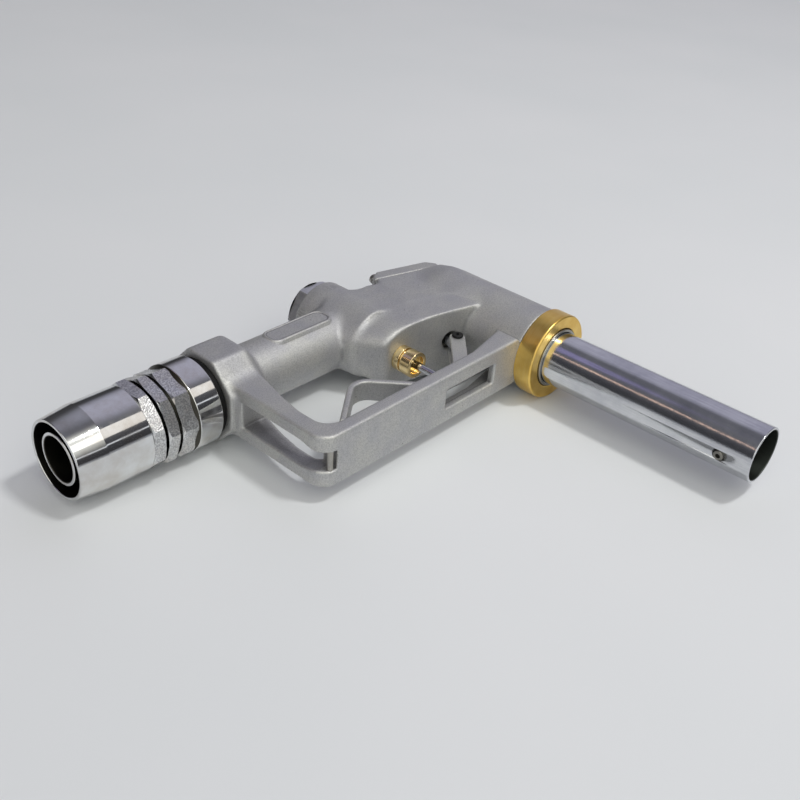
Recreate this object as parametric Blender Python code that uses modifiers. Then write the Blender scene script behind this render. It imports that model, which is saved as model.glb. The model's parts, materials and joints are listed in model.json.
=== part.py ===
"""High-flow automatic fuel nozzle, lying on its side.

Bench layout: X runs along the grip from the hose mouth, the spout points to -Y, and the
plane of symmetry lies flat. All sizes are in metres.
"""
import math

import bmesh
import bpy
from mathutils import Matrix, Vector

for leftover in list(bpy.data.objects):
    bpy.data.objects.remove(leftover, do_unlink=True)

# Fits
GAP = 0.0003
SLIP = 0.0004

# Hose ferrule, tail and swivel nut
FERRULE_MOUTH_R = 0.0239
FERRULE_R = 0.0260
FERRULE_TAPER = 0.0180
FERRULE_WALL = 0.0019
FERRULE_SLEEVE = 0.0454
FERRULE_END_WALL = 0.0036
NUT_FLATS = 0.0507
FERRULE_NUT = 0.0079
TAIL_R = 0.0158
TAIL_WALL = 0.0022
TAIL_RECESS = 0.0014
TAIL_FLANGE_R = 0.0212
TAIL_FLANGE = 0.0032
NUT_GROOVE = 0.0020
SWIVEL_NUT = 0.0074
SWIVEL_LIP = 0.0018
SWIVEL_SEAL_R = 0.0007

# Inlet adaptor and its rubber ring
ADAPTOR_FLATS = 0.0104
ADAPTOR_R = 0.0276
ADAPTOR_PLAIN = 0.0156
ADAPTOR_THREAD_R = 0.0218
ADAPTOR_THREAD = 0.0240
ADAPTOR_BORE_R = 0.0140
INLET_RING_R = 0.0264
INLET_RING = 0.0062

# Body casting: boss, grip and pad
BOSS_FLATS = 0.0560
BOSS_LENGTH = 0.0260
BOSS_CHAMFER = 0.0015
BOSS_SHOULDER = 0.0060
GRIP_R = 0.0199
GRIP_BORE_R = 0.0148
PAD_LENGTH = 0.0500
PAD_WIDTH = 0.0144
PAD_HEIGHT = 0.0008
PAD_START = 0.0260

# Body casting: valve chamber
GRIP_LENGTH = 0.0985
CHAMBER_HALF = 0.0230
CHAMBER_SHOULDER = 0.0130
CHAMBER_FRONT = 0.0467
CHAMBER_BACK = 0.0090
CHAMBER_LEFT = 0.0290
CHAMBER_ROUND = 0.0240
CHAMBER_WALL_HALF = 0.0145
CAP_BOSS_R = 0.0240
CAP_BOSS_START = 0.0245
CAP_BOSS_END = 0.0325

# Main valve
VALVE_BORE_R = 0.0185
SEAT_SHELF = 0.0160
SEAT_HOLE_R = 0.0110
SEAT_HEIGHT = 0.0040
OUTLET_TOP = 0.0200
OUTLET_BOTTOM = 0.0370
OUTLET_R = 0.0145
POPPET_R = 0.0150
POPPET_SEAL = 0.0022
POPPET_PLATE = 0.0050
POPPET_SPIGOT_R = 0.0070
POPPET_SPIGOT = 0.0070
STEM_R = 0.0024
CAP_PLUG = 0.0060
CAP_FLANGE_R = 0.0207
CAP_FLANGE = 0.0015
CAP_HEX = 0.0370
CAP_HEX_HEIGHT = 0.0045
CAP_SEAL_R = 0.0010
MAIN_SPRING_R = 0.0102
MAIN_SPRING_WIRE_R = 0.0011
MAIN_SPRING_CURLS = 5

# Gland on the chamber's front wall
GLAND_SPIGOT_R = 0.0062
GLAND_SPIGOT = 0.0060
GLAND_COLLAR_R = 0.0090
GLAND_COLLAR = 0.0035
GLAND_GROOVE_R = 0.0064
GLAND_GROOVE = 0.0030
GLAND_NUT_R = 0.0094
GLAND_NUT = 0.0080
GLAND_DISH_R = 0.0066
GLAND_DISH = 0.0034
PACKING = 0.0034

# Guard
GUARD_HALF = 0.0172
GUARD_SET_BACK = 0.0040
GUARD_REAR_DEPTH = 0.0115
GUARD_FLARE = 0.0087
GUARD_INSET = 0.0004
GUARD_FRONT_DEPTH = 0.0100
GUARD_WEB = 0.0050
GUARD_CHANNEL_HALF = 0.0088
GUARD_END_SHORT = 0.0256
GUARD_RISE = 0.0076
GUARD_RISE_LENGTH = 0.0360
GUARD_CORNER_R = 0.0110
GUARD_INNER_R = 0.0120
GUARD_SLOT_TOP = 0.0325
GUARD_SLOT_CORNER = 0.0105
GUARD_PIN_IN = 0.0081
GUARD_PIN_UP = 0.0032
WINDOW_AHEAD = 0.0063
WINDOW_LENGTH = 0.0465
WINDOW_HEIGHT = 0.0141
GUARD_PIN_R = 0.0020
GUARD_PIN_BITE = 0.0026

# Lever, its pin and the latch
PIVOT_AHEAD = 0.0400
PIVOT_UP = 0.0230
LATCH_TILT = math.radians(15)
LEVER_HALF = 0.0070
LEVER_THICK = 0.0040
LEVER_CLEAR = 0.0030
LEVER_RUN_BACK = 0.0205
LEVER_HUMP_RISE = 0.0280
LEVER_HUMP_BACK = 0.0575
LEVER_HUMP_LENGTH = 0.0115
LEVER_TIP_BACK = 0.0882
LEVER_TIP_UP = 0.0040
LEVER_BEND_R = 0.0090
EAR_R = 0.0055
EAR_THICK = 0.0026
PIN_R = 0.0022
PIN_HEAD_R = 0.0038
PIN_HEAD = 0.0014
PLUNGER_R = 0.0045
PLUNGER_TONGUE_HALF = 0.0038
PLUNGER_TOP = 0.0570
PLUNGER_COLLAR_R = 0.0062
PLUNGER_COLLAR = 0.0015
PLUNGER_COLLAR_AT = 0.0470
GUIDE_R = 0.0080
GUIDE_START = 0.0105
GUIDE_END = 0.0460
GUIDE_POCKET_AT = 0.0300
GUIDE_POCKET_R = 0.0066
PLUNGER_SPRING_WIRE_R = 0.0004
PLUNGER_SPRING_CURLS = 7
BALL_R = 0.0017
BALL_AT = 0.0515
LATCH_PIN_R = 0.0025
LATCH_PIN_END = 0.0440
LATCH_BORE_END = 0.0410

# Diaphragm housing and cover
HOUSING_HALF_WIDTH = 0.0270
HOUSING_HALF = 0.0225
HOUSING_FACE = 0.0680
HOUSING_SHIFT = 0.0035
HOUSING_CAVITY_R = 0.0180
HOUSING_CAVITY = 0.0090
DIAPHRAGM_R = 0.0210
DIAPHRAGM_THICK = 0.0008
LATCH_PLATE_R = 0.0090
LATCH_PLATE = 0.0014
COVER_HEIGHT = 0.0102
COVER_TOP_WALL = 0.0030
COVER_CAVITY_R = 0.0170
COVER_BEVEL = 0.0040
COVER_SPRING_R = 0.0064
COVER_SPRING_WIRE_R = 0.0004
COVER_SPRING_CURLS = 3
SCREW_R = 0.0019
SCREW_HEAD_R = 0.0035
SCREW_HEAD = 0.0034
SCREW_SOCKET = 0.0030
SCREW_BITE = 0.0090
SCREW_INSET = 0.0045

# Nose, check valve, spout and its nut
SPOUT_AHEAD = 0.0786
NOSE_STEP = 0.0035
NOSE_DOME_Y = 0.0220
NOSE_END = 0.1014
NECK_WALL = 0.0036
NECK = 0.0064
NOSE_BORE_STEP = 0.0002
NOSE_BORE_TOP = 0.0160
PASSAGE_R = 0.0100
PASSAGE_Y = 0.0285
SPOUT_R = 0.0180
SPOUT_WALL = 0.0018
SPOUT_SOCKET = 0.0124
SPOUT_REACH = 0.1623
SPOUT_SEAL_R = 0.0009
SPOUT_SEAL_BACK = 0.0029
COLLAR_WALL = 0.0019
COLLAR_STEP = 0.0034
COLLAR_FLANGE = 0.0032
COLLAR_PROUD = 0.0010
SPOUT_NUT_WALL = 0.00495
SPOUT_NUT = 0.0137
SPOUT_NUT_LIP = 0.0034
SPOUT_NUT_CHAMFER = 0.0012
CHECK_ROOM = 0.0280
CHECK_SEAT = 0.0080
CHECK_SEAT_HOLE_R = 0.0095
CHECK_POPPET_R = 0.0120
CHECK_POPPET = 0.0044
CHECK_STEM_R = 0.0025
CHECK_STEM = 0.0170
SPIDER_BACK = 0.0030
SPIDER = 0.0060
SPIDER_RIM = 0.0026
SPIDER_HUB_R = 0.0052
SPIDER_ARM = 0.0040
CHECK_SPRING_R = 0.0044
CHECK_SPRING_WIRE_R = 0.0004
CHECK_SPRING_CURLS = 5
SENSE_TUBE_R = 0.0025
SENSE_BORE_R = 0.0016
PORT_FROM_END = 0.0197
PORT_ANGLE = math.radians(-7)
PORT_R = 0.0033
PORT_DEPTH = 0.0050
PORT_PROUD = 0.0004
PORT_SOCKET = 0.0030

# Roundness of turned pieces
STEPS_LARGE = 44
STEPS_MEDIUM = 32
STEPS_RING = 32
STEPS_SLIM = 24
STEPS_SMALL = 18
BALL_ROUND = 12
BALL_TALL = 8
COIL_POINTS = 10
ARC_STEPS = 6

# Stations along the inlet axis, from the hose mouth
FERRULE_END = FERRULE_SLEEVE + FERRULE_NUT
SWIVEL_START = FERRULE_END + NUT_GROOVE
SWIVEL_END = SWIVEL_START + SWIVEL_NUT
FLANGE_START = SWIVEL_START + SWIVEL_LIP + GAP
FLANGE_END = FLANGE_START + TAIL_FLANGE
SEAL_MID = FLANGE_END + GAP + SWIVEL_SEAL_R
ADAPTOR_NOSE = SEAL_MID + SWIVEL_SEAL_R + GAP
ADAPTOR_START = SWIVEL_END + NUT_GROOVE
ADAPTOR_STEP = ADAPTOR_START + ADAPTOR_FLATS
ADAPTOR_END = ADAPTOR_STEP + ADAPTOR_PLAIN
BOSS_START = ADAPTOR_END + 2 * GAP + INLET_RING
BOSS_END = BOSS_START + BOSS_LENGTH

# Stations along the spout axis, from the grip's axis towards the spout's end
SPOUT_SEAL_AT = NOSE_END - SPOUT_SEAL_BACK
SPOUT_SEAT = NOSE_END - SPOUT_SOCKET
SPOUT_END = NOSE_END + SPOUT_REACH
PORT_Y = SPOUT_END - PORT_FROM_END
SPIDER_AT = SPOUT_SEAT - SPIDER_BACK - SPIDER
CHECK_SEAT_AT = SPIDER_AT - CHECK_ROOM

# Radii around the spout, from the tube outwards
NOSE_BORE_R = SPOUT_R - SPOUT_WALL - NOSE_BORE_STEP
SPOUT_SEAL_ROOM_R = SPOUT_R + 2 * SPOUT_SEAL_R + 2 * GAP
NECK_R = SPOUT_SEAL_ROOM_R + NECK_WALL
NOSE_R = NECK_R + NOSE_STEP
COLLAR_BORE_R = SPOUT_R + GAP
COLLAR_R = COLLAR_BORE_R + COLLAR_WALL
COLLAR_FLANGE_R = COLLAR_R + COLLAR_STEP
SPOUT_NUT_ROOM_R = max(NECK_R, COLLAR_FLANGE_R) + GAP
SPOUT_NUT_R = SPOUT_NUT_ROOM_R + SPOUT_NUT_WALL

# Places along the grip
VALVE_X = BOSS_END + GRIP_LENGTH
PIVOT_X = VALVE_X + PIVOT_AHEAD
SPOUT_X = VALVE_X + SPOUT_AHEAD
GUARD_REAR_X = BOSS_START + GUARD_SET_BACK
GUARD_END_X = SPOUT_X - GUARD_END_SHORT
GUARD_PIN_X = GUARD_REAR_X + GUARD_PIN_IN
WINDOW_X = VALVE_X + WINDOW_AHEAD
LEVER_RUN_START = VALVE_X - LEVER_RUN_BACK
LEVER_HUMP_START = VALVE_X - LEVER_HUMP_BACK
LEVER_HUMP_END = LEVER_HUMP_START + LEVER_HUMP_LENGTH
LEVER_TIP_X = VALVE_X - LEVER_TIP_BACK

# Depths below the grip's axis
GUARD_FRONT_Y = NOSE_END - GUARD_INSET
GUARD_PIN_Y = GUARD_FRONT_Y - GUARD_PIN_UP
LEVER_RUN_Y = GUARD_FRONT_Y - GUARD_FRONT_DEPTH - LEVER_CLEAR - LEVER_THICK
LEVER_HUMP_Y = LEVER_RUN_Y - LEVER_HUMP_RISE
LEVER_TIP_Y = LEVER_RUN_Y - LEVER_TIP_UP
PIVOT_Y = LEVER_RUN_Y - PIVOT_UP

# Stations along the valve axis, up towards the cap
SEAT_FACE = -SEAT_SHELF + GAP + SEAT_HEIGHT
POPPET_FACE = SEAT_FACE + 2 * GAP + POPPET_SEAL
POPPET_BACK = POPPET_FACE + POPPET_PLATE
CAP_INNER = CAP_BOSS_END - CAP_PLUG
CAP_TOP = CAP_BOSS_END + GAP + CAP_FLANGE + CAP_HEX_HEIGHT
GLAND_TOP = -CHAMBER_FRONT - GAP
GLAND_INNER = GLAND_TOP + GLAND_SPIGOT
GLAND_FRONT = GLAND_TOP - GLAND_COLLAR - GLAND_GROOVE - GLAND_NUT
STEM_FOOT = -LEVER_RUN_Y + GAP

# Sides of the diaphragm housing, from the latch axis
HOUSING_LEFT = HOUSING_SHIFT - HOUSING_HALF_WIDTH
HOUSING_RIGHT = HOUSING_SHIFT + HOUSING_HALF_WIDTH

# Whole box, which sets the origin under its middle
X_MIDDLE = (SPOUT_X + SPOUT_NUT_R) / 2
Y_MIDDLE = (CAP_TOP - SPOUT_END) / 2

parts = bpy.data.collections.new("fuel_nozzle")
cutters = bpy.data.collections.new("cutters")
for group in (parts, cutters):
    bpy.context.scene.collection.children.link(group)


def hex_colour(code):
    channels = [int(code[i:i + 2], 16) / 255 for i in (1, 3, 5)]
    return [c / 12.92 if c <= 0.04045 else ((c + 0.055) / 1.055) ** 2.4 for c in channels] + [1.0]


def material(name, code, roughness, metallic):
    made = bpy.data.materials.new(name)
    made.use_nodes = True
    shader = made.node_tree.nodes["Principled BSDF"]
    shader.inputs["Base Color"].default_value = hex_colour(code)
    shader.inputs["Roughness"].default_value = roughness
    shader.inputs["Metallic"].default_value = metallic
    return made


CAST = ("cast_aluminium", "#A4A3A0", 0.5, 1.0)
CHROME = ("bright_plated_steel", "#D2D4D6", 0.15, 1.0)
GOLD = ("gold_anodised", "#C39A3C", 0.3, 1.0)
BRASS = ("brass", "#D0A442", 0.25, 1.0)
ZINC = ("zinc_plated_steel", "#C4C7CB", 0.25, 1.0)
STEEL = ("steel", "#B9BBBE", 0.3, 1.0)
SPRING = ("spring_steel", "#8E9094", 0.35, 1.0)
RUBBER = ("black_rubber", "#141415", 0.6, 0.0)
BLACK = ("black_oxide_steel", "#1D1E20", 0.4, 1.0)


def axis_empty(name, place, turn, parent=None):
    empty = bpy.data.objects.new(name, None)
    empty.location = place
    empty.rotation_euler = turn
    empty.parent = parent
    parts.objects.link(empty)
    return empty


bench = axis_empty("bench_frame", (-X_MIDDLE, -Y_MIDDLE, SPOUT_NUT_R), (0, 0, 0))
inlet_axis = axis_empty("inlet_axis", (0, 0, 0), (0, math.pi / 2, 0), bench)
valve_axis = axis_empty("valve_axis", (VALVE_X, 0, 0), (-math.pi / 2, 0, 0), bench)
spout_axis = axis_empty("spout_axis", (SPOUT_X, 0, 0), (math.pi / 2, 0, 0), bench)
lever_axis = axis_empty("lever_axis", (PIVOT_X, -PIVOT_Y, 0), (0, 0, 0), bench)
latch_axis = axis_empty("latch_axis", (PIVOT_X, -PIVOT_Y, 0), (-math.pi / 2, 0, -LATCH_TILT), bench)


def place(name, mesh, parent, finish=None):
    made = bpy.data.objects.new(name, mesh)
    made.parent = parent
    if finish is None:
        made.hide_render = True
        made.display_type = 'WIRE'
        cutters.objects.link(made)
    else:
        mesh.materials.append(material(name + "_" + finish[0], *finish[1:]))
        parts.objects.link(made)
    return made


def spin(name, profile, closed, parent, finish, steps):
    mesh = bpy.data.meshes.new(name)
    edges = [(i, i + 1) for i in range(len(profile) - 1)]
    if closed:
        edges.append((len(profile) - 1, 0))
    mesh.from_pydata([(r, 0, z) for r, z in profile], edges, [])
    made = place(name, mesh, parent, finish)
    screw = made.modifiers.new("turned", 'SCREW')
    screw.axis = 'Z'
    screw.angle = 2 * math.pi
    screw.steps = steps
    screw.render_steps = steps
    screw.use_merge_vertices = True
    screw.merge_threshold = 0.000005
    screw.use_normal_calculate = False
    return made


def turned(name, outer, parent, finish=None, inner=None, steps=STEPS_MEDIUM):
    """Outer and inner profiles are (radius, station) pairs from the low end to the high end."""
    profile = list(reversed(outer))
    if inner is None:
        profile = [(0, outer[-1][1])] + profile + [(0, outer[0][1])]
        return spin(name, profile, False, parent, finish, steps)
    return spin(name, profile + list(inner), True, parent, finish, steps)


def rounded(points):
    """Outline with each (x, y, radius) corner turned into an arc."""
    outline = []
    count = len(points)
    for i, (x, y, radius) in enumerate(points):
        corner = Vector((x, y))
        before = (Vector(points[i - 1][:2]) - corner).normalized()
        after = (Vector(points[(i + 1) % count][:2]) - corner).normalized()
        if radius == 0:
            outline.append(corner)
            continue
        half = before.angle(after) / 2
        centre = corner + (before + after).normalized() * (radius / math.sin(half))
        first = corner + before * (radius / math.tan(half)) - centre
        sweep = first.angle_signed(corner + after * (radius / math.tan(half)) - centre)
        for step in range(ARC_STEPS + 1):
            outline.append(centre + Matrix.Rotation(-sweep * step / ARC_STEPS, 2) @ first)
    return outline


def curve_mesh(name, curve):
    holder = bpy.data.objects.new(name + "_curve", curve)
    bpy.context.scene.collection.objects.link(holder)
    graph = bpy.context.evaluated_depsgraph_get()
    mesh = bpy.data.meshes.new_from_object(holder.evaluated_get(graph))
    bpy.data.objects.remove(holder, do_unlink=True)
    bpy.data.curves.remove(curve)
    sheet = bmesh.new()
    sheet.from_mesh(mesh)
    bmesh.ops.remove_doubles(sheet, verts=sheet.verts, dist=0.000002)
    bmesh.ops.recalc_face_normals(sheet, faces=sheet.faces)
    sheet.to_mesh(mesh)
    sheet.free()
    mesh.name = name
    return mesh


def prism(name, outline, low, high, parent, finish=None):
    curve = bpy.data.curves.new(name, 'CURVE')
    curve.dimensions = '2D'
    curve.fill_mode = 'BOTH'
    curve.extrude = (high - low) / 2
    spline = curve.splines.new('POLY')
    spline.points.add(len(outline) - 1)
    for point, spot in zip(spline.points, outline):
        point.co = (spot[0], spot[1], 0, 1)
    spline.use_cyclic_u = True
    mesh = curve_mesh(name, curve)
    mesh.transform(Matrix.Translation((0, 0, (low + high) / 2)))
    return place(name, mesh, parent, finish)


def block(name, low, high, parent, finish=None):
    mesh = bpy.data.meshes.new(name)
    cube = bmesh.new()
    middle = (Vector(low) + Vector(high)) / 2
    span = Vector(high) - Vector(low)
    fit = Matrix.Translation(middle) @ Matrix.Diagonal((*span, 1))
    bmesh.ops.create_cube(cube, size=1, matrix=fit)
    cube.to_mesh(mesh)
    cube.free()
    return place(name, mesh, parent, finish)


def ring(name, major, minor, at, parent, finish):
    """Round rubber ring of eight-sided section."""
    turns = [math.radians(d) for d in (-67.5, -22.5, 22.5, 67.5)]
    outer = [(major + minor * math.cos(a), at + minor * math.sin(a)) for a in turns]
    inner = [(major - minor * math.cos(a), at + minor * math.sin(a)) for a in turns]
    return turned(name, outer, parent, finish, inner, STEPS_RING)


def combine(target, tool, operation):
    step = target.modifiers.new(tool.name, 'BOOLEAN')
    step.object = tool
    step.operation = operation
    step.solver = 'EXACT'
    weld = target.modifiers.new(tool.name + "_weld", 'WELD')
    weld.merge_threshold = 0.00001


def cut(target, *tools):
    for tool in tools:
        combine(target, tool, 'DIFFERENCE')


def join(target, *tools):
    for tool in tools:
        combine(target, tool, 'UNION')


def polygon_r(across_flats, sides):
    return across_flats / 2 / math.cos(math.pi / sides)


def least_gap(points, wire_r, curl):
    best = 1.0
    for i, point in enumerate(points):
        for other in points[i + curl // 2:]:
            best = min(best, (point - other).length)
    return best - 2 * wire_r


def coil(name, mean_r, wire_r, low, high, curls, parent):
    """Compression spring of one unbroken wire between two stations."""
    count = curls * COIL_POINTS
    rise = high - low - 2 * wire_r
    points = []
    for i in range(count + 1):
        turn = 2 * math.pi * i / COIL_POINTS
        height = low + wire_r + rise * i / count
        points.append(Vector((mean_r * math.cos(turn), mean_r * math.sin(turn), height)))
    gap = least_gap(points, wire_r, COIL_POINTS)
    print(name, "least gap to itself", round(gap * 1000, 2), "mm")
    curve = bpy.data.curves.new(name, 'CURVE')
    curve.dimensions = '3D'
    curve.bevel_depth = wire_r
    curve.bevel_resolution = 1
    curve.use_fill_caps = True
    spline = curve.splines.new('POLY')
    spline.points.add(count)
    for point, spot in zip(spline.points, points):
        point.co = (*spot, 1)
    return place(name, curve_mesh(name, curve), parent, SPRING)


def loft(name, sections, parent):
    """Closed skin through outlines of equal length, each an (outline, height) pair."""
    mesh = bpy.data.meshes.new(name)
    skin = bmesh.new()
    rows = [[skin.verts.new((x, y, z)) for x, y in outline] for outline, z in sections]
    count = len(rows[0])
    for low, high in zip(rows, rows[1:]):
        for i in range(count):
            j = (i + 1) % count
            skin.faces.new((low[i], low[j], high[j], high[i]))
    skin.faces.new(reversed(rows[0]))
    skin.faces.new(rows[-1])
    bmesh.ops.triangulate(skin, faces=skin.faces)
    bmesh.ops.recalc_face_normals(skin, faces=skin.faces)
    skin.to_mesh(mesh)
    skin.free()
    return place(name, mesh, parent)


def octagon(name, low, high, chamfer, finish=None, turn=0):
    corner = polygon_r(NUT_FLATS, 8)
    made = turned(name, [(corner - chamfer, low), (corner, low + chamfer), (corner, high - chamfer),
                         (corner - chamfer, high)], inlet_axis, finish, steps=8)
    made.rotation_euler.z = turn
    return made


def hose_end():
    chamfer = NUT_GROOVE / 4
    bite = NUT_GROOVE / 4
    core_r = FERRULE_R - FERRULE_WALL
    sleeve_end = FERRULE_END - FERRULE_END_WALL / 4
    tail_hole = TAIL_R + GAP
    ferrule = turned(
        "hose_ferrule",
        [(FERRULE_MOUTH_R, 0), (FERRULE_R, FERRULE_TAPER), (FERRULE_R, FERRULE_SLEEVE),
         (core_r, FERRULE_SLEEVE), (core_r, sleeve_end)],
        inlet_axis, CHROME,
        [(FERRULE_MOUTH_R - FERRULE_WALL, 0), (FERRULE_R - 2 * FERRULE_WALL, FERRULE_TAPER),
         (FERRULE_R - 2 * FERRULE_WALL, FERRULE_SLEEVE - FERRULE_END_WALL),
         (tail_hole, FERRULE_SLEEVE - FERRULE_END_WALL), (tail_hole, sleeve_end)],
        STEPS_LARGE)
    flats = octagon("ferrule_flats", FERRULE_SLEEVE - bite, FERRULE_END, chamfer, turn=math.pi / 8)
    flats_hole = TAIL_R + 2 * GAP
    cut(flats, turned("ferrule_flats_bore", [(flats_hole, 0), (flats_hole, ADAPTOR_END)], inlet_axis))
    join(ferrule, flats)

    turned("hose_tail",
           [(TAIL_R, TAIL_RECESS), (TAIL_R, FLANGE_START), (TAIL_FLANGE_R, FLANGE_START),
            (TAIL_FLANGE_R, FLANGE_END)],
           inlet_axis, ZINC,
           [(TAIL_R - TAIL_WALL, TAIL_RECESS), (TAIL_R - TAIL_WALL, FLANGE_END)], STEPS_LARGE)

    nut = octagon("swivel_nut", SWIVEL_START, SWIVEL_END, chamfer, CHROME)
    lip = SWIVEL_START + SWIVEL_LIP
    room_r = TAIL_FLANGE_R + GAP
    cut(nut, turned("swivel_nut_bore", [(tail_hole, 0), (tail_hole, lip), (room_r, lip),
                                        (room_r, ADAPTOR_END)], inlet_axis))

    ring("swivel_oring", (TAIL_R + TAIL_FLANGE_R) / 2, SWIVEL_SEAL_R, SEAL_MID, inlet_axis, RUBBER)


def inlet():
    pilot_r = TAIL_FLANGE_R - GAP
    ramp = ADAPTOR_R - NUT_FLATS / 2
    adaptor = turned(
        "inlet_adaptor",
        [(pilot_r, ADAPTOR_NOSE), (pilot_r, ADAPTOR_STEP - ramp / 2),
         (NUT_FLATS / 2 - GAP, ADAPTOR_STEP - ramp / 2), (ADAPTOR_R, ADAPTOR_STEP + ramp / 2),
         (ADAPTOR_R, ADAPTOR_END), (ADAPTOR_THREAD_R, ADAPTOR_END),
         (ADAPTOR_THREAD_R, ADAPTOR_END + ADAPTOR_THREAD)],
        inlet_axis, CHROME,
        [(ADAPTOR_BORE_R, ADAPTOR_NOSE), (ADAPTOR_BORE_R, ADAPTOR_END + ADAPTOR_THREAD)], STEPS_LARGE)
    flats = octagon("adaptor_flats", ADAPTOR_START, ADAPTOR_STEP + ramp / 4, NUT_GROOVE / 4)
    flats_hole = ADAPTOR_BORE_R + GAP
    cut(flats, turned("adaptor_flats_bore", [(flats_hole, 0), (flats_hole, BOSS_END)], inlet_axis))
    join(adaptor, flats)
    soft = INLET_RING / 4
    inner_r = ADAPTOR_THREAD_R + GAP
    low = ADAPTOR_END + GAP
    high = low + INLET_RING
    turned("inlet_oring",
           [(INLET_RING_R - soft, low), (INLET_RING_R, low + soft), (INLET_RING_R, high - soft),
            (INLET_RING_R - soft, high)],
           inlet_axis, RUBBER, [(inner_r, low), (inner_r, high)], STEPS_LARGE)


def chamber_outline(step_in):
    """Outline of the valve chamber, with its grip side drawn in by step_in."""
    slant = math.tan(LATCH_TILT)
    wall_end = VALVE_X + CHAMBER_WALL_HALF
    nose_side = SPOUT_X - NOSE_R / 3
    left = VALVE_X - CHAMBER_LEFT + step_in
    front_left = VALVE_X - CHAMBER_WALL_HALF + step_in * 0.45
    return [(left, -GRIP_R * 0.8),
            (front_left, -CHAMBER_FRONT + step_in * 0.08),
            (wall_end, -CHAMBER_FRONT),
            (nose_side, -CHAMBER_FRONT - (nose_side - wall_end) * slant),
            (SPOUT_X, -CHAMBER_FRONT),
            (SPOUT_X, -NOSE_DOME_Y + NOSE_R / 3),
            (VALVE_X + CAP_BOSS_R, CHAMBER_BACK),
            (VALVE_X - CAP_BOSS_R + step_in, CHAMBER_BACK),
            (left, CHAMBER_BACK - step_in / 2)]


def chamber_sections():
    """Outlines from the lower face to the upper one, rounded over both shoulders."""
    sections = []
    for degrees in (90, 60, 30, 0):
        a = math.radians(degrees)
        height = CHAMBER_HALF - CHAMBER_SHOULDER * (1 - math.sin(a))
        sections.append((chamber_outline(CHAMBER_ROUND * (1 - math.cos(a))), height))
    return [(outline, -height) for outline, height in sections] + list(reversed(sections))


def guard_outline():
    rear_in = GUARD_REAR_X + GUARD_REAR_DEPTH
    front_in = -GUARD_FRONT_Y + GUARD_FRONT_DEPTH
    root = -BOSS_FLATS / 4
    return rounded([(GUARD_REAR_X, root, 0),
                    (GUARD_REAR_X, -GUARD_FRONT_Y, GUARD_CORNER_R),
                    (GUARD_END_X, -GUARD_FRONT_Y, 0),
                    (GUARD_END_X, front_in + GUARD_RISE, 0),
                    (GUARD_END_X - GUARD_RISE_LENGTH, front_in, 0),
                    (rear_in, front_in, GUARD_INNER_R),
                    (rear_in, -GUARD_FRONT_Y * 0.68, 0),
                    (rear_in + GUARD_FLARE * 0.3, -GUARD_FRONT_Y * 0.52, 0),
                    (rear_in + GUARD_FLARE, -BOSS_FLATS / 2, 0),
                    (rear_in + GUARD_FLARE, root, 0)])


def guard_slot():
    """Slot through the rear leg and its corner, running on as a channel behind the front web."""
    beyond = GUARD_REAR_X - GUARD_REAR_DEPTH
    outside = -GUARD_FRONT_Y - GUARD_WEB
    web_x = GUARD_REAR_X + GUARD_SLOT_CORNER
    web_back = -GUARD_FRONT_Y + GUARD_WEB
    inside = -GUARD_FRONT_Y + 2 * GUARD_FRONT_DEPTH
    clear_x = GUARD_REAR_X + 2 * GUARD_REAR_DEPTH
    channel_end = PIVOT_X + EAR_R + GUARD_WEB / 2
    outline = [(beyond, outside), (web_x, outside), (web_x, web_back), (channel_end, web_back),
               (channel_end, inside), (clear_x, inside), (clear_x, -GUARD_SLOT_TOP),
               (beyond, -GUARD_SLOT_TOP)]
    return prism("guard_slot", outline, -GUARD_CHANNEL_HALF, GUARD_CHANNEL_HALF, bench)


def nose_profile():
    dome = []
    for degrees in range(15, 91, 15):
        a = math.radians(degrees)
        dome.append((NOSE_R * math.sin(a), NOSE_DOME_Y - NOSE_R * math.cos(a)))
    return dome + [(NOSE_R, NOSE_END), (NECK_R, NOSE_END), (NECK_R, NOSE_END + NECK)]


def body_shapes(body):
    grip = turned("grip_form", [(GRIP_R, BOSS_START + BOSS_LENGTH / 2), (GRIP_R, VALVE_X)], inlet_axis,
                  steps=STEPS_LARGE)
    pad_low = BOSS_END + PAD_START
    pad_high = pad_low + PAD_LENGTH
    half = PAD_WIDTH / 2
    end_r = half * 0.98
    pad = prism("pad_form", rounded([(pad_low, -half, end_r), (pad_high, -half, end_r),
                                     (pad_high, half, end_r), (pad_low, half, end_r)]),
                GRIP_BORE_R + GAP, GRIP_R + PAD_HEIGHT, bench)
    chamber = loft("chamber_form", chamber_sections(), bench)
    cap_boss = turned("cap_boss_form", [(CAP_BOSS_R, -CAP_BOSS_START), (CAP_BOSS_R, CAP_BOSS_END)],
                      valve_axis, steps=STEPS_LARGE)
    housing = block("housing_form", (HOUSING_LEFT, -HOUSING_HALF, GUIDE_POCKET_AT),
                    (HOUSING_RIGHT, HOUSING_HALF, HOUSING_FACE), latch_axis)
    nose = turned("nose_form", nose_profile(), spout_axis, steps=STEPS_LARGE)
    guard = prism("guard_form", guard_outline(), -GUARD_HALF, GUARD_HALF, bench)
    web_low = -GUARD_FRONT_Y + GUARD_WEB / 5
    web_high = web_low + GUARD_FRONT_DEPTH + GUARD_RISE / 2
    bridge = block("bridge_form", (GUARD_END_X - GUARD_WEB, web_low, -GUARD_CHANNEL_HALF),
                   (SPOUT_X - NOSE_R / 2, web_high, GUARD_CHANNEL_HALF), bench)
    join(body, grip, pad, chamber, cap_boss, nose, housing, guard, bridge)


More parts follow.
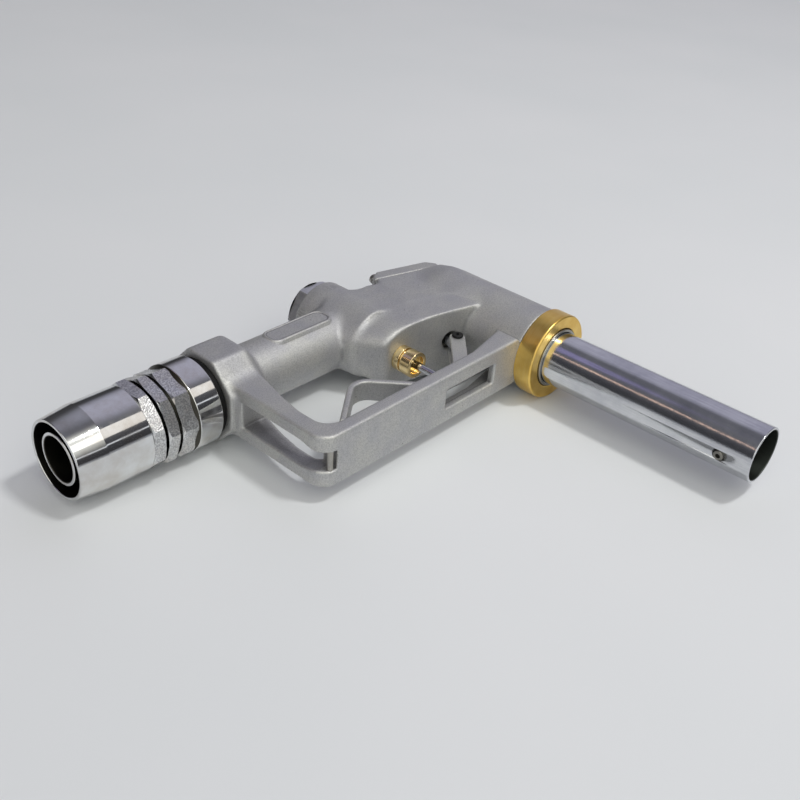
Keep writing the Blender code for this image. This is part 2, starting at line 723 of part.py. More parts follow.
def body_cuts(body):
    thread_r = ADAPTOR_THREAD_R + GAP
    thread_end = ADAPTOR_END + ADAPTOR_THREAD + 2 * GAP
    inlet_bore = turned("inlet_bore", [(thread_r, BOSS_START - BOSS_LENGTH), (thread_r, thread_end),
                                       (GRIP_BORE_R, thread_end), (GRIP_BORE_R, VALVE_X)], inlet_axis)
    gland_r = GLAND_SPIGOT_R + GAP
    valve_bore = turned("valve_bore", [(gland_r, -CHAMBER_FRONT - GLAND_NUT), (gland_r, -OUTLET_BOTTOM),
                                       (OUTLET_R, -OUTLET_BOTTOM), (OUTLET_R, -OUTLET_TOP),
                                       (SEAT_HOLE_R + GAP, -OUTLET_TOP), (SEAT_HOLE_R + GAP, -SEAT_SHELF),
                                       (VALVE_BORE_R, -SEAT_SHELF), (VALVE_BORE_R, 2 * CAP_BOSS_END)],
                        valve_axis, steps=STEPS_LARGE)
    seal_low = SPOUT_SEAL_AT - SPOUT_SEAL_R - GAP
    seal_high = SPOUT_SEAL_AT + SPOUT_SEAL_R + GAP
    seal_r = SPOUT_SEAL_ROOM_R
    spout_r = SPOUT_R + SLIP
    nose_bore = turned("nose_bore", [(NOSE_BORE_R, NOSE_BORE_TOP), (NOSE_BORE_R, SPOUT_SEAT - GAP),
                                     (spout_r, SPOUT_SEAT - GAP), (spout_r, seal_low), (seal_r, seal_low),
                                     (seal_r, seal_high), (spout_r, seal_high), (spout_r, SPOUT_END)],
                       spout_axis, steps=STEPS_LARGE)
    passage = turned("passage_bore", [(PASSAGE_R, VALVE_X), (PASSAGE_R, SPOUT_X)], inlet_axis)
    passage.location.y = -PASSAGE_Y
    guide_r = GUIDE_R + GAP
    cavity_low = HOUSING_FACE - HOUSING_CAVITY
    seat_low = HOUSING_FACE - DIAPHRAGM_THICK - 2 * GAP
    disc_r = DIAPHRAGM_R + GAP
    latch_bore = turned("latch_bore", [(guide_r, -EAR_R), (guide_r, cavity_low),
                                       (HOUSING_CAVITY_R, cavity_low), (HOUSING_CAVITY_R, seat_low),
                                       (disc_r, seat_low), (disc_r, 2 * HOUSING_FACE)], latch_axis)
    window_low = WINDOW_X - WINDOW_LENGTH / 2
    window = block("window_cut", (window_low, -GUARD_FRONT_Y - GUARD_WEB, -WINDOW_HEIGHT / 2),
                   (window_low + WINDOW_LENGTH, -GUARD_FRONT_Y + 2 * GUARD_WEB, WINDOW_HEIGHT / 2), bench)
    cover_seat = block("cover_seat_cut", (HOUSING_LEFT - GAP, -HOUSING_HALF - GAP, HOUSING_FACE),
                       (HOUSING_RIGHT + GAP, HOUSING_HALF + GAP, 2 * HOUSING_FACE), latch_axis)
    pin_end = GUARD_CHANNEL_HALF + GUARD_PIN_BITE + GAP
    pin_r = GUARD_PIN_R + GAP
    pin_hole = turned("guard_pin_hole", [(pin_r, -pin_end), (pin_r, pin_end)], bench, steps=STEPS_SMALL)
    pin_hole.location = guard_pin_place()
    cut(body, cover_seat, guard_slot(), inlet_bore, valve_bore, nose_bore, passage, latch_bore, window,
        pin_hole)
    hole_low = HOUSING_FACE - SCREW_BITE - GAP
    hole_r = SCREW_R + GAP
    for number, spot in enumerate(screw_places(), 1):
        hole = turned("screw_hole_%d" % number, [(hole_r, hole_low), (hole_r, 2 * HOUSING_FACE)],
                      latch_axis, steps=STEPS_SMALL)
        hole.location = (*spot, 0)
        cut(body, hole)


def guard_pin_place():
    return (GUARD_PIN_X, -GUARD_PIN_Y, 0)


def screw_places():
    right = HOUSING_RIGHT - SCREW_INSET
    left = HOUSING_LEFT + SCREW_INSET
    up = HOUSING_HALF - SCREW_INSET
    return [(right, up), (left, up), (left, -up), (right, -up)]


def nozzle_body():
    corner = polygon_r(BOSS_FLATS, 8)
    waist = GRIP_R * 0.9
    body = turned("nozzle_body", [(corner - BOSS_CHAMFER, BOSS_START), (corner, BOSS_START + BOSS_CHAMFER),
                                  (corner, BOSS_END), (waist, BOSS_END + BOSS_SHOULDER)],
                  inlet_axis, CAST, steps=8)
    body.rotation_euler.z = math.pi / 8
    body_shapes(body)
    body_cuts(body)
    reach = GUARD_CHANNEL_HALF + GUARD_PIN_BITE
    pin = turned("guard_pin", [(GUARD_PIN_R, -reach), (GUARD_PIN_R, reach)], bench, ZINC, steps=STEPS_SMALL)
    pin.location = guard_pin_place()


def main_valve():
    seat_low = -SEAT_SHELF + GAP
    seat_r = VALVE_BORE_R - GAP
    turned("valve_seat", [(seat_r, seat_low), (seat_r, SEAT_FACE)], valve_axis, BRASS,
           [(SEAT_HOLE_R, seat_low), (SEAT_HOLE_R, SEAT_FACE)])
    stem_hole = STEM_R + GAP
    seal_low = SEAT_FACE + GAP
    turned("poppet_seal", [(POPPET_R, seal_low), (POPPET_R, seal_low + POPPET_SEAL)], valve_axis, RUBBER,
           [(stem_hole, seal_low), (stem_hole, seal_low + POPPET_SEAL)])
    spigot_top = POPPET_BACK + POPPET_SPIGOT
    poppet = turned("main_poppet", [(POPPET_R, POPPET_FACE), (POPPET_R, POPPET_BACK),
                                    (POPPET_SPIGOT_R, POPPET_BACK), (POPPET_SPIGOT_R, spigot_top)],
                    valve_axis, BRASS)
    stem_top = POPPET_BACK + POPPET_SPIGOT / 2
    cut(poppet, turned("poppet_socket", [(stem_hole, -CHAMBER_FRONT), (stem_hole, stem_top + GAP)],
                       valve_axis, steps=STEPS_SMALL))
    turned("valve_stem", [(STEM_R * 0.4, STEM_FOOT), (STEM_R, STEM_FOOT + STEM_R * 0.6), (STEM_R, stem_top)],
           valve_axis, STEEL, steps=STEPS_SMALL)
    coil("main_spring", MAIN_SPRING_R, MAIN_SPRING_WIRE_R, POPPET_BACK + GAP, CAP_INNER - GAP,
         MAIN_SPRING_CURLS, valve_axis)


def valve_cap():
    plug_r = VALVE_BORE_R - GAP
    seal_r = plug_r - 2 * CAP_SEAL_R - 2 * GAP
    flange_low = CAP_BOSS_END + GAP
    seal_at = (CAP_INNER + flange_low) / 2
    groove = CAP_SEAL_R + GAP
    edge = CAP_FLANGE / 3
    cap = turned("valve_cap", [(plug_r, CAP_INNER), (plug_r, seal_at - groove), (seal_r, seal_at - groove),
                               (seal_r, seal_at + groove), (plug_r, seal_at + groove), (plug_r, flange_low),
                               (CAP_FLANGE_R, flange_low), (CAP_FLANGE_R, flange_low + CAP_FLANGE - edge),
                               (CAP_FLANGE_R - edge, flange_low + CAP_FLANGE)],
                 valve_axis, CAST, steps=STEPS_LARGE)
    corner = polygon_r(CAP_HEX, 6)
    hexagon = turned("cap_hex", [(corner, flange_low + CAP_FLANGE / 2), (corner, CAP_TOP - edge),
                                 (corner - edge, CAP_TOP)], valve_axis, steps=6)
    join(cap, hexagon)
    ring("cap_oring", seal_r + GAP + CAP_SEAL_R, CAP_SEAL_R, seal_at, valve_axis, RUBBER)


def gland():
    stem_hole = STEM_R + GAP
    collar_low = GLAND_TOP - GLAND_COLLAR
    nut_high = collar_low - GLAND_GROOVE
    edge = GLAND_COLLAR / 8
    dish = GLAND_FRONT + GLAND_DISH
    turned("gland_nut",
           [(GLAND_NUT_R - edge, GLAND_FRONT), (GLAND_NUT_R, GLAND_FRONT + edge), (GLAND_NUT_R, nut_high),
            (GLAND_GROOVE_R, nut_high), (GLAND_GROOVE_R, collar_low), (GLAND_COLLAR_R, collar_low),
            (GLAND_COLLAR_R, GLAND_TOP), (GLAND_SPIGOT_R, GLAND_TOP), (GLAND_SPIGOT_R, GLAND_INNER)],
           valve_axis, BRASS,
           [(GLAND_DISH_R, GLAND_FRONT), (GLAND_DISH_R, dish), (stem_hole, dish), (stem_hole, GLAND_INNER)])
    low = GLAND_INNER + GAP
    turned("stem_packing", [(GLAND_SPIGOT_R, low), (GLAND_SPIGOT_R, low + PACKING)], valve_axis, RUBBER,
           [(stem_hole, low), (stem_hole, low + PACKING)], STEPS_SMALL)


def lever_outline():
    """Bent strip: the upper edge and the same bends offset by its thickness, about the pivot."""
    top = [(LEVER_TIP_X, -LEVER_TIP_Y), (LEVER_HUMP_START, -LEVER_HUMP_Y),
           (LEVER_HUMP_END, -LEVER_HUMP_Y), (LEVER_RUN_START, -LEVER_RUN_Y),
           (PIVOT_X + EAR_R, -LEVER_RUN_Y)]
    top = [Vector((x - PIVOT_X, y + PIVOT_Y)) for x, y in top]
    below = []
    for i, point in enumerate(top):
        before = (point - top[i - 1]).normalized() if i else (top[1] - point).normalized()
        after = (top[i + 1] - point).normalized() if i < len(top) - 1 else before
        normal = Vector((before.y + after.y, -before.x - after.x)).normalized()
        below.append(point + normal * (LEVER_THICK / normal.dot(Vector((before.y, -before.x)))))
    wide = LEVER_BEND_R + LEVER_THICK
    top_r = [0, wide, wide, LEVER_BEND_R, 0]
    below_r = [0, LEVER_BEND_R, LEVER_BEND_R, wide, 0]
    loop = [(*point, r) for point, r in zip(below, below_r)]
    loop += [(*point, r) for point, r in reversed(list(zip(top, top_r)))]
    return rounded(loop)


def lever_and_pin():
    lever = prism("lever", lever_outline(), -LEVER_HALF, LEVER_HALF, lever_axis, CAST)
    drop = LEVER_RUN_Y - PIVOT_Y + LEVER_THICK / 2
    outer = LEVER_HALF - GAP
    inner = outer - EAR_THICK
    ear = rounded([(-EAR_R, -drop, 0), (EAR_R - GAP, -drop, 0), (EAR_R - GAP, EAR_R, EAR_R * 0.9),
                   (-EAR_R, EAR_R, EAR_R * 0.9)])
    upper = prism("upper_ear_form", ear, inner, outer, lever_axis)
    lower = prism("lower_ear_form", ear, -outer, -inner, lever_axis)
    join(lever, upper, lower)
    hole_r = PIN_R + GAP
    cut(lever, turned("ear_hole", [(hole_r, -2 * LEVER_HALF), (hole_r, 2 * LEVER_HALF)], lever_axis,
                      steps=STEPS_SMALL))
    head_low = outer + GAP
    edge = PIN_HEAD / 4
    head_high = head_low + PIN_HEAD
    pin = turned("lever_pin", [(PIN_R, -outer), (PIN_R, head_low), (PIN_HEAD_R, head_low),
                               (PIN_HEAD_R, head_high - edge), (PIN_HEAD_R - edge, head_high)],
                 lever_axis, BLACK, steps=STEPS_SMALL)
    socket_r = polygon_r(PIN_R, 6)
    cut(pin, turned("pin_socket", [(socket_r, head_low + PIN_HEAD / 3), (socket_r, 2 * head_high)],
                    lever_axis, steps=6))


def latch():
    tongue_half = PLUNGER_TONGUE_HALF
    collar_high = PLUNGER_COLLAR_AT + PLUNGER_COLLAR
    plunger = turned("latch_plunger", [(PLUNGER_R, -EAR_R), (PLUNGER_R, PLUNGER_COLLAR_AT),
                                       (PLUNGER_COLLAR_R, PLUNGER_COLLAR_AT), (PLUNGER_COLLAR_R, collar_high),
                                       (PLUNGER_R, collar_high), (PLUNGER_R, PLUNGER_TOP)],
                     latch_axis, STEEL, steps=STEPS_SLIM)
    tongue_top = EAR_R + 2 * SLIP
    for side, name in ((1, "tongue_cut_upper"), (-1, "tongue_cut_lower")):
        edges = sorted((side * tongue_half, side * 2 * PLUNGER_R))
        cut(plunger, block(name, (-2 * PLUNGER_R, edges[0], -2 * EAR_R),
                           (2 * PLUNGER_R, edges[1], tongue_top), latch_axis))
    across = 2 * PLUNGER_R
    cross_r = PIN_R + GAP
    cross = turned("plunger_pin_hole", [(cross_r, -across), (cross_r, across)], lever_axis, steps=STEPS_SMALL)
    bore_r = LATCH_PIN_R + SLIP
    bore = turned("latch_pin_bore", [(bore_r, LATCH_BORE_END), (bore_r, 2 * PLUNGER_TOP)], latch_axis,
                  steps=STEPS_SMALL)
    seat_r = BALL_R + GAP
    ball_hole = turned("ball_hole", [(seat_r, -across), (seat_r, across)], latch_axis, steps=STEPS_SMALL)
    ball_hole.location.z = BALL_AT
    ball_hole.rotation_euler.x = math.pi / 2
    cut(plunger, cross, bore, ball_hole)
    ball_out = bore_r + BALL_R
    for number, side in ((1, 1), (2, -1)):
        mesh = bpy.data.meshes.new("latch_ball_%d" % number)
        ball = bmesh.new()
        bmesh.ops.create_uvsphere(ball, u_segments=BALL_ROUND, v_segments=BALL_TALL, radius=BALL_R)
        ball.to_mesh(mesh)
        ball.free()
        made = place(mesh.name, mesh, latch_axis, STEEL)
        made.location = (0, side * ball_out, BALL_AT)

    run_r = PLUNGER_R + SLIP
    turned("plunger_guide", [(GUIDE_R, GUIDE_START), (GUIDE_R, GUIDE_END)], latch_axis, BRASS,
           [(run_r, GUIDE_START), (run_r, GUIDE_POCKET_AT), (GUIDE_POCKET_R, GUIDE_POCKET_AT),
            (GUIDE_POCKET_R, GUIDE_END)], STEPS_SLIM)
    spring_r = (PLUNGER_R + GUIDE_POCKET_R) / 2
    coil("plunger_spring", spring_r, PLUNGER_SPRING_WIRE_R, GUIDE_POCKET_AT + GAP, PLUNGER_COLLAR_AT - GAP,
         PLUNGER_SPRING_CURLS, latch_axis)


def diaphragm_stack():
    disc_high = HOUSING_FACE - GAP
    disc_low = disc_high - DIAPHRAGM_THICK
    pin_hole = LATCH_PIN_R + GAP
    turned("diaphragm", [(DIAPHRAGM_R, disc_low), (DIAPHRAGM_R, disc_high)], latch_axis, RUBBER,
           [(pin_hole, disc_low), (pin_hole, disc_high)])
    plate_low = HOUSING_FACE
    plate_high = plate_low + LATCH_PLATE
    turned("latch_pin", [(LATCH_PIN_R, LATCH_PIN_END), (LATCH_PIN_R, plate_low), (LATCH_PLATE_R, plate_low),
                         (LATCH_PLATE_R, plate_high)], latch_axis, STEEL, steps=STEPS_SLIM)
    cover_low = HOUSING_FACE + GAP
    cover_high = cover_low + COVER_HEIGHT
    roof = cover_high - COVER_TOP_WALL
    coil("diaphragm_spring", COVER_SPRING_R, COVER_SPRING_WIRE_R, plate_high + GAP, roof - GAP,
         COVER_SPRING_CURLS, latch_axis)
    cover = block("diaphragm_cover", (HOUSING_LEFT, -HOUSING_HALF, cover_low),
                  (HOUSING_RIGHT, HOUSING_HALF, cover_high), latch_axis, CAST)
    bevel = cover.modifiers.new("rounded_edges", 'BEVEL')
    bevel.width = COVER_BEVEL
    bevel.segments = 2
    cavity_low = HOUSING_FACE - COVER_HEIGHT
    cut(cover, turned("cover_cavity", [(COVER_CAVITY_R, cavity_low), (COVER_CAVITY_R, roof)], latch_axis))
    head_low = cover_high - SCREW_HEAD - 2 * GAP
    head_high = head_low + SCREW_HEAD
    shelf = head_low - GAP
    hole_r = SCREW_R + GAP
    room_r = SCREW_HEAD_R + SLIP
    socket_r = polygon_r(SCREW_SOCKET, 6)
    for number, spot in enumerate(screw_places(), 1):
        hole = turned("cover_hole_%d" % number, [(hole_r, HOUSING_FACE - SCREW_HEAD), (hole_r, shelf),
                                                 (room_r, shelf), (room_r, 2 * cover_high)],
                      latch_axis, steps=STEPS_SMALL)
        hole.location = (*spot, 0)
        cut(cover, hole)
        screw = turned("cover_screw_%d" % number, [(SCREW_R, HOUSING_FACE - SCREW_BITE), (SCREW_R, head_low),
                                                   (SCREW_HEAD_R, head_low), (SCREW_HEAD_R, head_high)],
                       latch_axis, ZINC, steps=STEPS_SMALL)
        screw.location = (*spot, 0)
        socket = turned("screw_socket_%d" % number, [(socket_r, head_low + SCREW_HEAD / 3),
                                                     (socket_r, 2 * cover_high)], latch_axis, steps=6)
        socket.location = (*spot, 0)
        cut(screw, socket)


def check_valve():
    seat_r = NOSE_BORE_R - GAP
    seat_high = CHECK_SEAT_AT + CHECK_SEAT
    turned("check_seat", [(seat_r, CHECK_SEAT_AT), (seat_r, seat_high)], spout_axis, BRASS,
           [(CHECK_SEAT_HOLE_R, CHECK_SEAT_AT), (CHECK_SEAT_HOLE_R, seat_high)])
    disc_low = seat_high + GAP
    disc_high = disc_low + CHECK_POPPET
    turned("check_poppet", [(CHECK_POPPET_R, disc_low), (CHECK_POPPET_R * 0.8, disc_high),
                            (CHECK_STEM_R, disc_high), (CHECK_STEM_R, disc_high + CHECK_STEM)],
           spout_axis, BRASS)
    spider_high = SPIDER_AT + SPIDER
    spider = turned("check_spider", [(seat_r, SPIDER_AT), (seat_r, spider_high)], spout_axis, BRASS,
                    [(seat_r - SPIDER_RIM, SPIDER_AT), (seat_r - SPIDER_RIM, spider_high)])
    inset = SPIDER / 8
    for number in range(3):
        arm = block("spider_arm_%d" % (number + 1), (0, -SPIDER_ARM / 2, SPIDER_AT + inset),
                    (seat_r - SPIDER_RIM / 2, SPIDER_ARM / 2, spider_high - inset), spout_axis)
        arm.rotation_euler.z = 2 * math.pi * number / 3
        join(spider, arm)
    hub_low = SPIDER_AT + inset / 2
    hub_high = spider_high - inset / 2
    join(spider, turned("spider_hub", [(SPIDER_HUB_R, hub_low), (SPIDER_HUB_R, hub_high)], spout_axis,
                        steps=STEPS_SMALL))
    hole_r = CHECK_STEM_R + SLIP
    cut(spider, turned("spider_hole", [(hole_r, SPIDER_AT - SPIDER), (hole_r, spider_high + SPIDER)],
                       spout_axis, steps=STEPS_SMALL))
    coil("check_spring", CHECK_SPRING_R, CHECK_SPRING_WIRE_R, disc_high + GAP, SPIDER_AT - GAP,
         CHECK_SPRING_CURLS, spout_axis)


def spout():
    bore_r = SPOUT_R - SPOUT_WALL
    tube = turned("spout_tube", [(SPOUT_R, SPOUT_SEAT), (SPOUT_R, SPOUT_END)], spout_axis, ZINC,
                  [(bore_r, SPOUT_SEAT), (bore_r, SPOUT_END)], STEPS_LARGE)
    port_axis = axis_empty("port_axis", (0, 0, PORT_Y), (0, -math.pi / 2, PORT_ANGLE), spout_axis)
    hole_r = PORT_R + GAP
    cut(tube, turned("port_hole", [(hole_r, SPOUT_R / 2), (hole_r, 2 * SPOUT_R)], port_axis,
                     steps=STEPS_SMALL))
    port_top = SPOUT_R + PORT_PROUD
    port = turned("sensing_port", [(PORT_R, port_top - PORT_DEPTH), (PORT_R, port_top)], port_axis, ZINC,
                  steps=STEPS_SMALL)
    socket_r = polygon_r(PORT_SOCKET, 6)
    cut(port, turned("port_socket", [(socket_r, port_top - PORT_DEPTH / 2), (socket_r, 2 * SPOUT_R)],
                     port_axis, steps=6))

    nut_low = NOSE_END + GAP
    nut_high = nut_low + SPOUT_NUT
    lip = nut_high - SPOUT_NUT_LIP
    edge = SPOUT_NUT_CHAMFER
    lip_r = COLLAR_R + SLIP
    room_r = SPOUT_NUT_ROOM_R
    turned("spout_nut",
           [(SPOUT_NUT_R - edge, nut_low), (SPOUT_NUT_R, nut_low + edge), (SPOUT_NUT_R, nut_high - edge),
            (SPOUT_NUT_R - edge, nut_high)],
           spout_axis, GOLD,
           [(room_r, nut_low), (room_r, lip), (lip_r, lip), (lip_r, nut_high)], STEPS_LARGE)
    flange_high = lip - GAP
    flange_low = flange_high - COLLAR_FLANGE
    turned("spout_collar",
           [(COLLAR_FLANGE_R, flange_low), (COLLAR_FLANGE_R, flange_high), (COLLAR_R, flange_high),
            (COLLAR_R, nut_high + COLLAR_PROUD)],
           spout_axis, CHROME,
           [(COLLAR_BORE_R, flange_low), (COLLAR_BORE_R, nut_high + COLLAR_PROUD)], STEPS_LARGE)
    ring("spout_oring", SPOUT_R + GAP + SPOUT_SEAL_R, SPOUT_SEAL_R, SPOUT_SEAL_AT, spout_axis, RUBBER)

    sense_low = SPIDER_AT + SPIDER + GAP
    sense_high = PORT_Y - PORT_R - GAP
    sense = turned("sensing_tube", [(SENSE_TUBE_R, sense_low), (SENSE_TUBE_R, sense_high)], spout_axis, ZINC,
                   [(SENSE_BORE_R, sense_low), (SENSE_BORE_R, sense_high)], STEPS_SMALL)
    sense_r = min(bore_r, NOSE_BORE_R) - SENSE_TUBE_R - GAP
    sense.location = (-sense_r * math.cos(PORT_ANGLE), -sense_r * math.sin(PORT_ANGLE), 0)


hose_end()
inlet()
nozzle_body()
main_valve()
valve_cap()
gland()
lever_and_pin()
latch()
diaphragm_stack()
check_valve()
spout()
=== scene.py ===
"""Looks of a fuel nozzle that lies on its side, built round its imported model."""
import json
import math

import bmesh
import bpy
import numpy as np
from mathutils import Matrix, Vector


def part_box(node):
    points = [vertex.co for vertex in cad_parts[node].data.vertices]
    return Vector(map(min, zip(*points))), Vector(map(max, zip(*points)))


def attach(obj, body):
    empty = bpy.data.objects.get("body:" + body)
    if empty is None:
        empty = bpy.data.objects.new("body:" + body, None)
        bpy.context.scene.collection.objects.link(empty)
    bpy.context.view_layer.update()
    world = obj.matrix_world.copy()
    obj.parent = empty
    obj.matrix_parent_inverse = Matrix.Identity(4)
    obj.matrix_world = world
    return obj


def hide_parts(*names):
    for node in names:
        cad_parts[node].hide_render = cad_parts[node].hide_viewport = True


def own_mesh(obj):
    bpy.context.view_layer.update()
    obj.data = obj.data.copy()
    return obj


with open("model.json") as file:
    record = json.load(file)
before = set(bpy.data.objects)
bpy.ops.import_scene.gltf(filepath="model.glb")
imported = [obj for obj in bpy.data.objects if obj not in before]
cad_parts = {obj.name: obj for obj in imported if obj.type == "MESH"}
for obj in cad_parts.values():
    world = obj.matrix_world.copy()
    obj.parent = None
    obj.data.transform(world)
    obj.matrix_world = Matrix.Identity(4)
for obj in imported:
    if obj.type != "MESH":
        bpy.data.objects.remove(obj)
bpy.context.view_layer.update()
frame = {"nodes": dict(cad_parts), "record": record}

# The bench is the part's own layout: x along the grip from the hose mouth, the spout towards -y.
# Shapes are worked out there in millimetres and put into the frame by BENCH.
MM = 0.001
SPOUT_END = 263.7
tube_low, tube_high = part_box("spout_tube")
BENCH = Vector((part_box("hose_ferrule")[0].x, tube_low.y + SPOUT_END * MM, (tube_low.z + tube_high.z) / 2))
TO_FRAME = Matrix.Translation(BENCH) @ Matrix.Scale(MM, 4)

VALVE_X = 222.0
SPOUT_X = 300.6
PIVOT = (262.0, -61.0)
TILT = math.radians(15)
GAP = 0.3

INLET = TO_FRAME @ Matrix.Rotation(math.pi / 2, 4, 'Y')
VALVE = TO_FRAME @ Matrix.Translation((VALVE_X, 0, 0)) @ Matrix.Rotation(-math.pi / 2, 4, 'X')
SPOUT = TO_FRAME @ Matrix.Translation((SPOUT_X, 0, 0)) @ Matrix.Rotation(math.pi / 2, 4, 'X')
PIN = TO_FRAME @ Matrix.Translation((*PIVOT, 0))
LATCH = PIN @ Matrix.Rotation(-TILT, 4, 'Z') @ Matrix.Rotation(-math.pi / 2, 4, 'X')


def linear(code):
    """Linear colour of an sRGB hex code."""
    channels = [int(code[i:i + 2], 16) / 255 for i in (1, 3, 5)]
    return [c / 12.92 if c <= 0.04045 else ((c + 0.055) / 1.055) ** 2.4 for c in channels] + [1.0]


def node(tree, kind, links=None, **settings):
    """Adds a node with its settings. An input takes a value, a hex colour, a socket or another node."""
    made = tree.nodes.new(kind)
    for name, value in settings.items():
        setattr(made, name, value)
    for key, value in (links or {}).items():
        place = made.inputs[key] if isinstance(key, int) else next(s for s in made.inputs if s.enabled and s.name == key)
        if isinstance(value, bpy.types.Node):
            value = next(s for s in value.outputs if s.enabled)
        if isinstance(value, bpy.types.NodeSocket):
            tree.links.new(value, place)
        elif place.type == 'RGBA':
            place.default_value = linear(value)
        else:
            place.default_value = value
    return made


def per_mm(size):
    """Texture scale for a feature of so many millimetres."""
    return 1 / (size * MM)


# Finishes

def finish(name, plain):
    """Material with its shader, whose plain values go straight on the sockets."""
    made = bpy.data.materials.new(name)
    made.use_nodes = True
    tree = made.node_tree
    tree.nodes.clear()
    shader = node(tree, "ShaderNodeBsdfPrincipled", plain)
    node(tree, "ShaderNodeOutputMaterial", {"Surface": shader})
    return made, tree, shader, node(tree, "ShaderNodeTexCoord").outputs["Object"]


def cast_aluminium():
    """Bead-blasted gravity casting: a matt grey with a fine even tooth, faint cloudy patches and a few pores.
    Corners that are handled or dragged are rubbed paler. Concave creases and the housing seam are darker,
    and inside the guard's slot the darkening is painted shade."""
    made, tree, shader, where = finish("bead_blasted_cast_aluminium", {"Metallic": 1.0})
    cloud = node(tree, "ShaderNodeTexNoise", {"Vector": where, "Scale": per_mm(16), "Detail": 3.0})
    # The blasted tooth is about 0.2 mm; it is drawn at 0.8 mm so that it shows.
    tooth = node(tree, "ShaderNodeTexNoise", {"Vector": where, "Scale": per_mm(0.8), "Detail": 3.0, "Roughness": 0.7})
    lump = node(tree, "ShaderNodeTexNoise", {"Vector": where, "Scale": per_mm(4), "Detail": 2.0})
    patch = node(tree, "ShaderNodeMapRange", {"Value": cloud, "From Min": 0.35, "From Max": 0.65})
    base = node(tree, "ShaderNodeMix", {"Factor": patch, "A": "#C0C0C2", "B": "#CACAC7"}, data_type='RGBA')
    speck = node(tree, "ShaderNodeMapRange", {"Value": tooth, "From Min": 0.42, "From Max": 0.7, "To Max": 0.6})
    base = node(tree, "ShaderNodeMix", {"Factor": speck, "A": base, "B": "#9B9B9E"}, data_type='RGBA')
    edge = node(tree, "ShaderNodeAttribute", attribute_name="edge").outputs["Fac"]
    scuff = node(tree, "ShaderNodeTexNoise", {"Vector": where, "Scale": per_mm(3), "Detail": 5.0, "Roughness": 0.7})
    scuff = node(tree, "ShaderNodeMapRange", {"Value": scuff, "From Min": 0.4, "From Max": 0.66, "To Max": 0.75})
    rub = node(tree, "ShaderNodeMath", {0: edge, 1: scuff}, operation='MULTIPLY')
    base = node(tree, "ShaderNodeMix", {"Factor": rub, "A": base, "B": "#CACAC4"}, data_type='RGBA')
    nick = node(tree, "ShaderNodeTexNoise", {"Vector": where, "Scale": per_mm(2.2), "Detail": 4.0, "Roughness": 0.8})
    nick = node(tree, "ShaderNodeMapRange", {"Value": nick, "From Min": 0.6, "From Max": 0.68, "To Max": 0.8})
    nick = node(tree, "ShaderNodeMath", {0: edge, 1: nick}, operation='MULTIPLY')
    base = node(tree, "ShaderNodeMix", {"Factor": nick, "A": base, "B": "#5A5A58"}, data_type='RGBA')
    # Concave creases and the housing seam are darkened; inside the guard's slot the darkening is painted shade.
    crease_and_shade = node(tree, "ShaderNodeAttribute", attribute_name="crease_and_shade").outputs["Fac"]
    darkening_and_shade = node(tree, "ShaderNodeMapRange", {"Value": cloud, "From Min": 0.3, "From Max": 0.7, "To Min": 0.25, "To Max": 0.7})
    darkening_and_shade = node(tree, "ShaderNodeMath", {0: crease_and_shade, 1: darkening_and_shade}, operation='MULTIPLY')
    base = node(tree, "ShaderNodeMix", {"Factor": darkening_and_shade, "A": base, "B": "#636267"}, data_type='RGBA')
    # Pores are drawn about 0.7 mm wide, because real ones are too fine to show.
    pore = node(tree, "ShaderNodeTexVoronoi", {"Vector": where, "Scale": per_mm(11)})
    pore = node(tree, "ShaderNodeMapRange", {"Value": pore, "From Min": 0.02, "From Max": 0.045, "To Min": 1.0, "To Max": 0.0})
    base = node(tree, "ShaderNodeMix", {"Factor": pore, "A": base, "B": "#4E4E50"}, data_type='RGBA')
    gloss = node(tree, "ShaderNodeMapRange", {"Value": tooth, "From Min": 0.3, "From Max": 0.7, "To Min": 0.56, "To Max": 0.7})
    gloss = node(tree, "ShaderNodeMath", {0: rub, 1: -0.1, 2: gloss}, operation='MULTIPLY_ADD')
    swell = node(tree, "ShaderNodeBump", {"Height": lump, "Distance": 0.1 * MM, "Strength": 0.5})
    skin = node(tree, "ShaderNodeBump", {"Height": tooth, "Distance": 0.1 * MM, "Strength": 0.8, "Normal": swell})
    hole = node(tree, "ShaderNodeBump", {"Height": pore, "Distance": 0.2 * MM, "Strength": 0.7, "Normal": skin}, invert=True)
    tree.links.new(base.outputs[2], shader.inputs["Base Color"])
    tree.links.new(gloss.outputs[0], shader.inputs["Roughness"])
    tree.links.new(hole.outputs[0], shader.inputs["Normal"])
    return made


